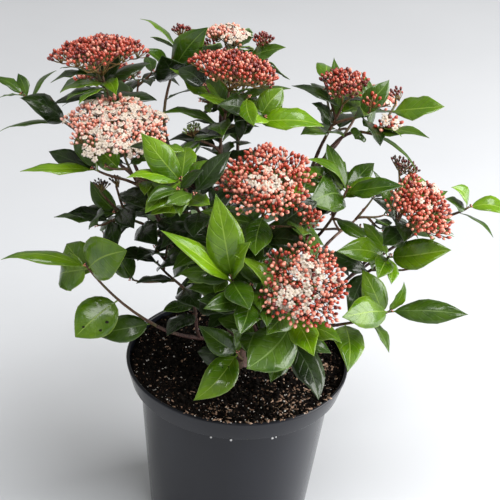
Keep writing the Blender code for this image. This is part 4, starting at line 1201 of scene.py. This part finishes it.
# ---------------------------------------------------------------- twigs
# This year's wood: thin, smooth and reddish, greener where it is youngest. Each twig grows on from
# a bough's tip or parts from another twig, and tapers to its own tip.

TWIG_RINGS = 8
TWIG_SIDES = 7

twig_bark = bark_material("twig_bark", (0.060, 0.022, 0.014, 1.0), (0.170, 0.085, 0.040, 1.0), 0.8)
twig_mesh = swept("twigs", *tapered(twigs, TWIG_RINGS), TWIG_SIDES)
twig_piece = add_piece("twigs", twig_mesh, [twig_bark])
foliage_nodes = [name + "_foliage" for name in MASSES]
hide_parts(*foliage_nodes)

# ---------------------------------------------------------------- leaves
# Leathery evergreen blades, glossy above and matt pale green below, with a pale midrib that runs
# on into a short stalk. Each blade is folded a little along the midrib and rippled at its edge.

LEAF_THICKNESS = 0.45 * MM
STALK_SHARE = 0.09
STALK_WIDTH = 1.5 * MM
RIB_SHARE = 0.036
LEAF_COLUMNS = (-1.0, -0.58, -RIB_SHARE, RIB_SHARE, 0.58, 1.0)
LEAF_ROWS = (0.0, 0.05, 0.09, 0.12, 0.18, 0.27, 0.38, 0.50, 0.62, 0.73, 0.83, 0.91, 0.97, 1.0)

# Which of a leaf's finishes its rib and its underside have; the upper face has the first.
RIB, UNDERSIDE = 1, 2

# How far blades differ: how strongly each is rounded, arched, folded along the rib, drooped at its
# sides, rippled at its edge, curled down at the tip, swayed sideways and twisted. NARROW_BLADE is
# the width of a narrow blade beside its length, and a round one is wider by NARROW_TO_ROUND.
ROUNDNESS = (-0.2, 0.2)
ARCH = (0.5, 1.6)
FOLD = (0.12, 0.42)
DROOP = (0.05, 0.45)
RIPPLES = (9.0, 17.0)
RIPPLE_DEPTH = (0.04, 0.20)
CURL = (-0.02, 0.11)
CURL_START = 0.45
CURL_SPREAD = 0.3
SWAY = (-0.07, 0.07)
TWIST = (-0.5, 0.5)
NARROW_BLADE = 0.30
NARROW_TO_ROUND = 0.35


def leaf_template():
    """A flat blade of two layers on a grid: x across from -1 to 1, y along from 0 to 1."""
    shape = bmesh.new()
    columns = len(LEAF_COLUMNS) - 1
    rows = len(LEAF_ROWS) - 1
    bmesh.ops.create_grid(shape, x_segments=columns, y_segments=rows, size=0.5)
    for vertex in shape.verts:
        column = round((vertex.co.x + 0.5) * columns)
        row = round((vertex.co.y + 0.5) * rows)
        vertex.co = (LEAF_COLUMNS[column], LEAF_ROWS[row], 0.0)
    bmesh.ops.solidify(shape, geom=list(shape.faces), thickness=1.0)
    for vertex in shape.verts:
        vertex.co.z = -abs(round(vertex.co.z))
    bmesh.ops.recalc_face_normals(shape, faces=shape.faces)
    flat = shape.loops.layers.uv.new("UVMap")
    for face in shape.faces:
        middle = face.calc_center_median()
        if abs(middle.x) < RIB_SHARE or middle.y < STALK_SHARE:
            face.material_index = RIB
        elif middle.z < -0.9:
            face.material_index = UNDERSIDE
        for loop in face.loops:
            loop[flat].uv = (0.5 + 0.5 * loop.vert.co.x, loop.vert.co.y)
    return mesh_of("template", shape)


def leaf_fullness(along_share, roundness):
    """Half-width of blades along their length, as a share of their fullest, with no stalk."""
    share = np.clip((along_share - STALK_SHARE) / (1.0 - STALK_SHARE), 0.0, 1.0)
    power = (0.85 - 0.35 * roundness) * (1.0 - share) + (1.15 - 0.25 * roundness) * share
    return np.sin(np.pi * share**0.88) ** power


def make_leaves(name, grown_leaves, chance):
    """Blades in their places, each with its own arch, fold, ripple and twist."""
    template = leaf_template()
    across_share, along_share, layer = corners_of(template).T
    roots, tips, ups = (np.array([leaf[i] for leaf in grown_leaves]) for i in range(3))
    widths = np.array([leaf[3] for leaf in grown_leaves])
    lifts = tips - roots
    lengths = np.linalg.norm(lifts, axis=1)[:, None]
    headings = unit(lifts)
    sides = unit(np.cross(headings, ups))
    uppers = np.cross(sides, headings)

    def varied(limits):
        """One chance value for each blade, between two limits."""
        return chance.uniform(*limits, (len(widths), 1))

    roundness = np.clip((widths[:, None] / lengths - NARROW_BLADE) / NARROW_TO_ROUND, 0.0, 1.0)
    roundness = roundness + varied(ROUNDNESS)
    half = 0.5 * widths[:, None] * leaf_fullness(along_share, roundness)
    half = np.maximum(half, 0.5 * STALK_WIDTH * np.where(along_share < 0.5, 1.0, 0.1))
    out = across_share * half
    rise = LEAF_ARCH * varied(ARCH) * lengths * 4.0 * along_share * (1.0 - along_share)
    fold = np.abs(out) * varied(FOLD)
    droop = out**2 / np.maximum(half.max(axis=1, keepdims=True), MM) * varied(DROOP)
    ripple = np.sin(along_share * varied(RIPPLES) + varied(ANY_TURN))
    ripple = ripple * across_share**2 * half * varied(RIPPLE_DEPTH)
    curl = varied(CURL) * lengths * np.clip(along_share - CURL_START, 0.0, 1.0) ** 2 / CURL_SPREAD
    sway = varied(SWAY) * lengths * np.sin(np.pi * along_share)
    twist = varied(TWIST) * (along_share - 0.5)
    height = rise + fold - droop + ripple - curl + layer * LEAF_THICKNESS
    turned_out = out * np.cos(twist) - height * np.sin(twist)
    turned_up = out * np.sin(twist) + height * np.cos(twist)
    points = roots[:, None, :] + headings[:, None, :] * (lengths * along_share)[:, :, None]
    points += sides[:, None, :] * (turned_out + sway)[:, :, None]
    points += uppers[:, None, :] * turned_up[:, :, None]
    return repeated(name, template, points)


def flat_place(tree):
    """The two values of a piece's own map: across and along."""
    return node(tree, "ShaderNodeSeparateXYZ", {0: node(tree, "ShaderNodeUVMap").outputs[0]}).outputs[:2]


def vein_group():
    """Side veins that leave the midrib at a slant, and the blade's thin pale edge."""
    group, given = new_group("leaf_veins", ("Veins", "Slant"), ("Vein", "Edge"))
    across_blade, along_blade = flat_place(group)
    off = calculated(group, "ABSOLUTE", calculated(group, "SUBTRACT", across_blade, 0.5))
    count = calculated(group, "MULTIPLY", along_blade, given["Veins"])
    slant = calculated(group, "MULTIPLY", off, given["Slant"])
    near = calculated(group, "PINGPONG", calculated(group, "SUBTRACT", count, slant), 1.0)
    vein = spread(group, near, 0.0, 0.20, 1.0, 0.0)
    edge = spread(group, off, 0.465, 0.495)
    node(group, "NodeGroupOutput", {"Vein": vein, "Edge": edge})
    return group


VEINS = vein_group()


def blade_material(name, colour, deep, pale):
    """A glossy upper face: mottled green, paler veins pressed in, and a pale edge."""
    gloss = dict(Coat_Weight=0.60, Coat_Roughness=0.12, Specular_IOR_Level=0.18)
    material, tree, inputs = new_material(name, **gloss)
    grain = grained(tree, 42.0, 240.0)
    veins = node(tree, "ShaderNodeGroup", {"Veins": 15.0, "Slant": 7.0}, node_tree=VEINS).outputs
    tone = blended(tree, spread(tree, grain["Broad"], 0.36, 0.64), deep, colour)
    for output, paleness in (("Vein", 0.12), ("Edge", 0.55)):
        tone = blended(tree, spread(tree, veins[output], 0.0, 1.0, 0.0, paleness), tone, pale)
    feed(tree, inputs, Base_Color=tone, Roughness=spread(tree, grain["Broad"], 0.3, 0.7, 0.26, 0.42))
    pressed = spread(tree, veins["Vein"], 0.0, 1.0, 0.0, 0.5)
    relief(tree, inputs, calculated(tree, "SUBTRACT", grain["Fine"], pressed), 0.8, 0.9 * MM)
    return material


def matt_green(name, dark, light, roughness):
    """The midrib, the stalk and the underside."""
    material, tree, inputs = new_material(name, Roughness=roughness)
    grain = grained(tree, 60.0, 600.0)
    feed(tree, inputs, Base_Color=blended(tree, grain["Broad"], dark, light))
    relief(tree, inputs, grain["Fine"], 0.2, 0.3 * MM)
    return material


underside = matt_green("leaf_underside", (0.070, 0.125, 0.035, 1.0), (0.150, 0.225, 0.080, 1.0), 0.6)

# For each green: its leaves' name, the blade's tone, a deeper one and the pale one of its veins.
LEAF_GREENS = {
    NEW: ("young_leaves", (0.175, 0.330, 0.003, 1), (0.105, 0.235, 0.002, 1), (0.400, 0.550, 0.080, 1)),
    BRIGHT: ("bright_leaves", (0.122, 0.230, 0.003, 1), (0.056, 0.138, 0.002, 1), (0.300, 0.430, 0.065, 1)),
    GREEN: ("green_leaves", (0.060, 0.128, 0.003, 1), (0.024, 0.066, 0.002, 1), (0.160, 0.260, 0.045, 1)),
    # The dark green is the leaves' own deep green with painted shade on it.
    DARK: ("dark_leaves", (0.016, 0.038, 0.002, 1), (0.005, 0.015, 0.001, 1), (0.048, 0.088, 0.020, 1)),
}
for green, (name, colour, deep, pale) in LEAF_GREENS.items():
    mesh = make_leaves(name, leaves[green], np.random.default_rng(GROW_SEED + green))
    rib = matt_green(name + "_rib", colour, pale, 0.45)
    piece = add_piece(name, mesh, [blade_material(name, colour, deep, pale), rib, underside])
    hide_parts(*foliage_nodes)

# ---------------------------------------------------------------- leaf spots
# Small black scorch spots that weather has left on two of the lowest blades, and one blackened
# tip. Each is only skin deep.

# The tip of the blade in mm, and where its spots lie: across, along, and radius in mm.
SPOTTED = [
    ((-152, -84, 250), [(-0.45, 0.42, 1.9), (-0.55, 0.60, 1.5), (0.10, 0.78, 1.4), (-0.75, 0.75, 1.0)]),
    ((-220, -80, 330), [(0.0, 0.985, 0.9)]),
    ((-35, -130, 222), [(-0.15, 0.30, 1.0), (0.10, 0.38, 0.8)]),
]
SPOT_FLATNESS = 0.25 * MM
SPOT_NARROWNESS = 0.75
ABOVE_BLADE = 20.0 * MM
SPOT_SEARCH = 60.0 * MM


def make_spots(mesh):
    """Flat discs laid on the blades' upper faces."""
    tree = BVHTree.FromPolygons([v.co for v in mesh.vertices], [p.vertices for p in mesh.polygons])
    disc = bmesh.new()
    bmesh.ops.create_icosphere(disc, subdivisions=2, radius=1.0)
    template = mesh_of("template", disc)
    placings = []
    for tip_mm, spots in SPOTTED:
        blade_tip = Vector(tip_mm) * MM
        root, tip, up, width = min(leaves[BRIGHT], key=lambda leaf: (leaf[1] - blade_tip).length)
        side, upper = square_to((tip - root).normalized(), up)
        for across_share, along_share, radius in spots:
            start = root.lerp(tip, along_share) + side * across_share * 0.5 * width
            place, normal, _, _ = tree.ray_cast(start + upper * ABOVE_BLADE, -upper, SPOT_SEARCH)
            if place:
                turn = normal.to_track_quat("Z", "Y").to_matrix().to_4x4()
                size = Matrix.Diagonal((radius * MM, SPOT_NARROWNESS * radius * MM, SPOT_FLATNESS, 1.0))
                placings.append(Matrix.Translation(place) @ turn @ size)
    return scattered("leaf_spots", template, placings)


scorch = grainy_material("scorch", (0.004, 0.003, 0.002, 1), (0.020, 0.014, 0.008, 1), 0.7, 0.2)
add_piece("leaf_spots", make_spots(bpy.data.objects["bright_leaves"].data), [scorch])

# ---------------------------------------------------------------- heads of buds and flowers
# Flat-domed heads. A few stout rays part from the twig's end, each parts again, and every last ray carries
# one waxy bud, coral outside and pink where it swells, or a cream flower of five lobes. A bud's deeper foot
# and paler swell are partly its own colour and partly painted shade and a painted highlight.

RAY_RADIUS = 0.75 * MM
PEDICEL_RADIUS = 0.40 * MM
BUD_LENGTH = 4.8 * MM
BUD_WIDTH = 3.0 * MM
FLOWER_WIDTH = 6.6 * MM
FLOWER_RISE = 3.4 * MM
CLUSTER_SPACING = 12.1 * MM
CLUSTER_RADIUS = 7.6 * MM
CLUSTER_BUDS = 11
CLUSTER_DOME = 2.6 * MM
CLUSTER_STALK = 6.5 * MM
CLUSTERS_TO_A_RAY = 5
IN_CLUSTER = 0.42
HEAD_DOME = 0.20
NODE_REACH = 0.62
NODE_DEPTH = 0.30
DEEPEST_NODE = 9.0 * MM
INNER_PART = 0.62
HEAD_EDGE = 2.0 * MM
TIP_BUDS = 5
TIP_BUD_SIZE = 0.45
GOLDEN_TURN = math.pi * (3.0 - math.sqrt(5.0))
HEAD_SEED = 77

# For each kind of head: how many of ten buds have each colour, the share of clusters in flower
# within the inner part of the head and beyond it, and the size of a bud beside a full one.
HeadKind = namedtuple("HeadKind", "colours inner outer size")
HEAD_KINDS = {
    "coral": HeadKind(dict(coral=5, rose=2, maroon=3), 0.0, 0.0, 1.0),
    "loose": HeadKind(dict(coral=5, rose=4, maroon=1), 0.08, 0.10, 1.06),
    "opening": HeadKind(dict(coral=4, rose=5, maroon=1), 0.55, 0.08, 1.14),
    "open": HeadKind(dict(rose=6, blush=4), 0.95, 0.70, 1.0),
    "pale": HeadKind(dict(rose=5, blush=5), 0.5, 0.5, 0.9),
    "maroon": HeadKind(dict(maroon=8, coral=2), 0.0, 0.0, 0.85),
    "purple": HeadKind(dict(maroon=5, dried=5), 0.0, 0.0, 0.72),
    "dried": HeadKind(dict(dried=10), 0.0, 0.0, 0.6),
    "green": HeadKind(dict(green=10), 0.0, 0.0, 0.75),
}
rays = []
buds = {"coral": [], "rose": [], "blush": [], "maroon": [], "dried": [], "green": []}
flowers = []


def leant(aim, side, upper, most, chance):
    """A direction leant by chance to its sides, by a share of its length at most."""
    lean = side * chance.uniform(-most, most) + upper * chance.uniform(-most, most)
    return (aim + lean).normalized()


def add_cluster(foot, place, axis, kind, in_flower, chance):
    """One small umbel at the end of a ray: buds or flowers on fine stalks."""
    palette = [colour for colour, share in kind.colours.items() for _ in range(share)]
    side, upper = square_to(axis, across(axis))
    count = CLUSTER_BUDS + chance.randint(-1, 2)
    start = chance.uniform(*ANY_TURN)
    for k in range(count):
        reach = CLUSTER_RADIUS * kind.size * math.sqrt((k + 0.4) / count)
        out = swung(side, upper, start + GOLDEN_TURN * k)
        lift = CLUSTER_DOME * (1.0 - (reach / CLUSTER_RADIUS) ** 2) + chance.uniform(-1.5, 1.5) * MM
        seat = place + out * reach + axis * lift
        aim = (axis + out * 0.55 * reach / CLUSTER_RADIUS).normalized()
        rays.append((bend(foot, aim, seat, aim), PEDICEL_RADIUS, PEDICEL_RADIUS))
        if in_flower and chance.random() < IN_CLUSTER:
            facing = leant(aim, side, upper, 0.4, chance)
            flowers.append((seat + aim * FLOWER_RISE, facing, kind.size * chance.uniform(0.85, 1.1)))
        else:
            facing = leant(aim, side, upper, 0.25, chance)
            colour = chance.choice(palette)
            buds[colour].append((seat, facing, kind.size * chance.uniform(0.8, 1.15)))


def add_head(limb, diameter, centre_mm, facing, kind, chance):
    """A whole head: stout rays to a few nodes, finer rays to the clusters."""
    axis = Vector(facing).normalized()
    centre = Vector(centre_mm) * MM
    radius = 0.5 * diameter * MM - HEAD_EDGE
    foot, _ = along(limb, 1.0)
    side, upper = square_to(axis, BACKWARDS)
    count = max(1, round((radius / CLUSTER_SPACING) ** 2 * math.pi))
    main = max(1, round(count / CLUSTERS_TO_A_RAY))
    nodes = []
    for k in range(main):
        out = swung(side, upper, GOLDEN_TURN * k + 1.0)
        reach = NODE_REACH * radius * math.sqrt((k + 0.3) / main)
        place = centre + out * reach - axis * min(NODE_DEPTH * radius, DEEPEST_NODE)
        nodes.append(place)
        rays.append((bend(foot, axis + 0.4 * out, place, axis + 0.3 * out), 1.3 * RAY_RADIUS, RAY_RADIUS))
    for k in range(count):
        share = math.sqrt((k + 0.5) / count)
        out = swung(side, upper, GOLDEN_TURN * k + chance.uniform(-0.12, 0.12))
        reach = 0.0
        if count > 1:
            reach = (radius - 0.72 * CLUSTER_RADIUS) * share * chance.uniform(0.94, 1.04)
        dome = HEAD_DOME * radius * math.sqrt(max(0.0, 1.0 - share**2)) + chance.uniform(-1.5, 1.0) * MM
        cluster_axis = (axis + out * 0.5 * share).normalized()
        place = centre + out * reach + axis * (dome - BUD_LENGTH)
        junction = place - cluster_axis * CLUSTER_STALK
        root = min(nodes, key=lambda spot: (spot - junction).length)
        rays.append((bend(root, axis, junction, cluster_axis), RAY_RADIUS, 0.8 * RAY_RADIUS))
        in_flower = chance.random() < (kind.inner if share < INNER_PART else kind.outer)
        add_cluster(junction, place, cluster_axis, kind, in_flower, chance)


for order, (name, mass) in enumerate(MASSES.items()):
    chance = random.Random(HEAD_SEED + order)
    for twig, diameter, centre, facing, kind in mass.heads:
        add_head(grown[name][twig], diameter, centre, facing, HEAD_KINDS[kind], chance)

# Next year's heads are a knot of tiny buds between the last pair of leaves on a shoot.
for point, heading in shoot_tips:
    side, upper = square_to(heading, across(heading))
    for k in range(TIP_BUDS):
        out = swung(side, upper, GOLDEN_TURN * k)
        seat = point + heading * 1.2 * MM + out * 1.5 * MM * math.sqrt(k / TIP_BUDS)
        colour = "dried" if k % 2 else "rose"
        buds[colour].append((seat, (heading + 0.5 * out).normalized(), TIP_BUD_SIZE))


def seats(grown_parts, width, length):
    """Placings that stand a template with its foot at each seat, pointing along each axis."""
    placings = []
    for seat, aim, size in grown_parts:
        turn = aim.to_track_quat("Z", "Y").to_matrix().to_4x4()
        swelling = Matrix.Diagonal((width * size, width * size, length * size, 1.0))
        placings.append(Matrix.Translation(seat) @ turn @ swelling)
    return placings


def bud_template():
    """An egg-shaped bud of width 1 and length 1 that stands on its narrow end."""
    shape = bmesh.new()
    bmesh.ops.create_uvsphere(shape, u_segments=8, v_segments=5, radius=0.5)
    for vertex in shape.verts:
        high = vertex.co.z + 0.5
        narrow = 0.75 + 0.65 * high - 0.50 * high**3
        vertex.co = (vertex.co.x * narrow, vertex.co.y * narrow, high)
    flat = shape.loops.layers.uv.new("UVMap")
    for face in shape.faces:
        for loop in face.loops:
            loop[flat].uv = (0.5, loop.vert.co.z)
    return mesh_of("template", shape)


FLOWER_PROFILE = [(0.06, -0.50), (0.10, -0.05), (0.32, 0.02), (0.50, -0.03)]
FLOWER_STEPS = 20
LOBES = 5
LOBE_NOTCH = 0.36
LOBE_DROP = 0.10
PETAL_THICKNESS = 0.05
ANTHER_CIRCLE = 0.17
ANTHER_HEIGHT = 0.13
ANTHER_RADIUS = 0.040


def flower_template():
    """A short tube that opens into five rounded lobes, of width 1 across them, in two layers."""
    shape = spun(FLOWER_PROFILE, FLOWER_STEPS)
    for vertex in shape.verts:
        radius = math.hypot(vertex.co.x, vertex.co.y)
        angle = math.atan2(vertex.co.y, vertex.co.x)
        notch = (radius / 0.5) ** 2 * (1.0 - abs(math.cos(0.5 * LOBES * angle)) ** 0.6)
        vertex.co *= Vector((1.0 - LOBE_NOTCH * notch, 1.0 - LOBE_NOTCH * notch, 1.0))
        vertex.co.z -= LOBE_DROP * notch
    bmesh.ops.solidify(shape, geom=list(shape.faces), thickness=PETAL_THICKNESS)
    bmesh.ops.recalc_face_normals(shape, faces=shape.faces)
    return mesh_of("template", shape)


def anther_template():
    """Five anthers on a ring above the flower's throat."""
    shape = bmesh.new()
    for k in range(LOBES):
        angle = 2.0 * math.pi * (k + 0.5) / LOBES
        circle = (ANTHER_CIRCLE * math.cos(angle), ANTHER_CIRCLE * math.sin(angle), ANTHER_HEIGHT)
        place = Matrix.Translation(circle)
        bmesh.ops.create_icosphere(shape, subdivisions=1, radius=ANTHER_RADIUS, matrix=place)
    return mesh_of("template", shape)


def bud_material(name, low, high):
    """Waxy skin, deeper towards its stalk and paler where it swells: partly its own colour, partly painted
    shade at the foot and a painted highlight on the swell.
    """
    material, tree, inputs = new_material(name, Roughness=0.35, Coat_Weight=0.4, Coat_Roughness=0.15)
    _, along_bud = flat_place(tree)
    grain = grained(tree, 300.0, 1500.0)
    # Deeper at the stalk, paler at the swell: partly painted shade and a painted highlight.
    share = calculated(tree, "MULTIPLY", spread(tree, along_bud, 0.1, 0.95), grain["Broad"])
    feed(tree, inputs, Base_Color=blended(tree, spread(tree, share, 0.0, 0.6), low, high))
    relief(tree, inputs, grain["Fine"], 0.15, 0.2 * MM)
    return material


# Each colour's two tones: its foot, partly painted shade, and its swell, partly a painted highlight.
BUD_COLOURS = {
    "coral": ((0.150, 0.006, 0.002, 1.0), (0.540, 0.072, 0.032, 1.0)),
    "rose": ((0.390, 0.034, 0.016, 1.0), (0.900, 0.410, 0.290, 1.0)),
    "blush": ((0.560, 0.120, 0.100, 1.0), (0.920, 0.600, 0.500, 1.0)),
    "maroon": ((0.045, 0.003, 0.003, 1.0), (0.190, 0.016, 0.012, 1.0)),
    "dried": ((0.020, 0.012, 0.010, 1.0), (0.090, 0.045, 0.030, 1.0)),
    "green": ((0.130, 0.180, 0.050, 1.0), (0.340, 0.420, 0.180, 1.0)),
}
bud_mesh = bud_template()
for colour, grown_buds in buds.items():
    name = colour + "_buds"
    mesh = scattered(name, bud_mesh, seats(grown_buds, BUD_WIDTH, BUD_LENGTH))
    add_piece(name, mesh, [bud_material(name, *BUD_COLOURS[colour])])

flower_seats = seats(flowers, FLOWER_WIDTH, FLOWER_WIDTH)
petals = grainy_material("petal", (0.600, 0.510, 0.430, 1), (0.720, 0.630, 0.540, 1), 0.5, 0.3)
add_piece("open_flowers", scattered("open_flowers", flower_template(), flower_seats), [petals])
pollen = grainy_material("pollen", (0.720, 0.620, 0.320, 1), (0.860, 0.800, 0.540, 1), 0.7)
add_piece("anthers", scattered("anthers", anther_template(), flower_seats), [pollen])

RAY_RINGS = 4
RAY_SIDES = 4
ray_skin = bark_material("ray_skin", (0.190, 0.060, 0.026, 1.0), (0.280, 0.210, 0.060, 1.0), 0.9)
ray_mesh = swept("flower_rays", *tapered(rays, RAY_RINGS), RAY_SIDES)
add_piece("flower_rays", ray_mesh, [ray_skin])

# ---------------------------------------------------------------- studio
# A pale painted floor that reaches out of view, one large soft window on the right, a soft light
# overhead, a weak fill on the left and a pale sky. The camera looks down on the plant's front.

FLOOR_SIZE = 12.0
FLOOR_PAINT = (0.655, 0.675, 0.705, 1.0)
FLOOR_PAINT_WORN = (0.755, 0.775, 0.805, 1.0)
CAMERA_AIM = Vector((0.0047, 0.0, 0.3083))
CAMERA_DISTANCE = 1.5
CAMERA_ELEVATION = math.radians(30.818)
CAMERA_ROLL = math.radians(4.257)
SENSOR = 36.0
IMAGE_SIDE = 500.0
FOCAL_PIXELS = 1561.7


def make_floor():
    """A flat square of painted floor."""
    shape = bmesh.new()
    bmesh.ops.create_grid(shape, x_segments=1, y_segments=1, size=0.5 * FLOOR_SIZE)
    floor = bpy.data.objects.new("studio_floor", mesh_of("studio_floor", shape))
    material, tree, inputs = new_material("floor_paint", Roughness=0.75)
    grain = grained(tree, 3.0, 40.0)
    feed(tree, inputs, Base_Color=blended(tree, grain["Broad"], FLOOR_PAINT, FLOOR_PAINT_WORN))
    floor.data.materials.append(material)
    bpy.context.scene.collection.objects.link(floor)


def add_light(name, place, aim, size, power, colour):
    """A square soft light at a place, turned to face another."""
    lamp = bpy.data.lights.new(name, "AREA")
    lamp.shape = "SQUARE"
    lamp.size = size
    lamp.energy = power
    lamp.color = colour
    light = bpy.data.objects.new(name, lamp)
    light.location = place
    light.rotation_euler = (Vector(aim) - Vector(place)).to_track_quat("-Z", "Y").to_euler()
    bpy.context.scene.collection.objects.link(light)


make_floor()
add_light("window", (2.0, 0.1, 0.9), (0.0, 0.0, 0.25), 2.0, 80.0, (1.0, 0.99, 0.98))
add_light("overhead", (0.3, -0.6, 2.1), (0.0, 0.0, 0.3), 1.0, 31.0, (1.0, 1.0, 1.0))
add_light("fill", (-1.5, -0.9, 0.9), (0.0, 0.0, 0.25), 1.2, 3.0, (0.95, 0.97, 1.0))

world = bpy.data.worlds.new("studio")
world.use_nodes = True
sky = world.node_tree.nodes["Background"].inputs
sky["Color"].default_value = (0.94, 0.92, 0.89, 1.0)
sky["Strength"].default_value = 0.38
bpy.context.scene.world = world
bpy.context.scene.view_settings.view_transform = "Standard"

forward = Vector((0.0, math.cos(CAMERA_ELEVATION), -math.sin(CAMERA_ELEVATION)))
level = Vector((1.0, 0.0, 0.0))
overhead = level.cross(forward)
right = level * math.cos(CAMERA_ROLL) + overhead * math.sin(CAMERA_ROLL)
above = overhead * math.cos(CAMERA_ROLL) - level * math.sin(CAMERA_ROLL)
lens = bpy.data.cameras.new("camera")
lens.sensor_fit = "HORIZONTAL"
lens.sensor_width = SENSOR
lens.lens = SENSOR * FOCAL_PIXELS / IMAGE_SIDE
camera = bpy.data.objects.new("camera", lens)
camera.matrix_world = (
    Matrix.Translation(CAMERA_AIM - forward * CAMERA_DISTANCE)
    @ Matrix((right, above, -forward)).transposed().to_4x4()
)
bpy.context.scene.collection.objects.link(camera)
bpy.context.scene.camera = camera
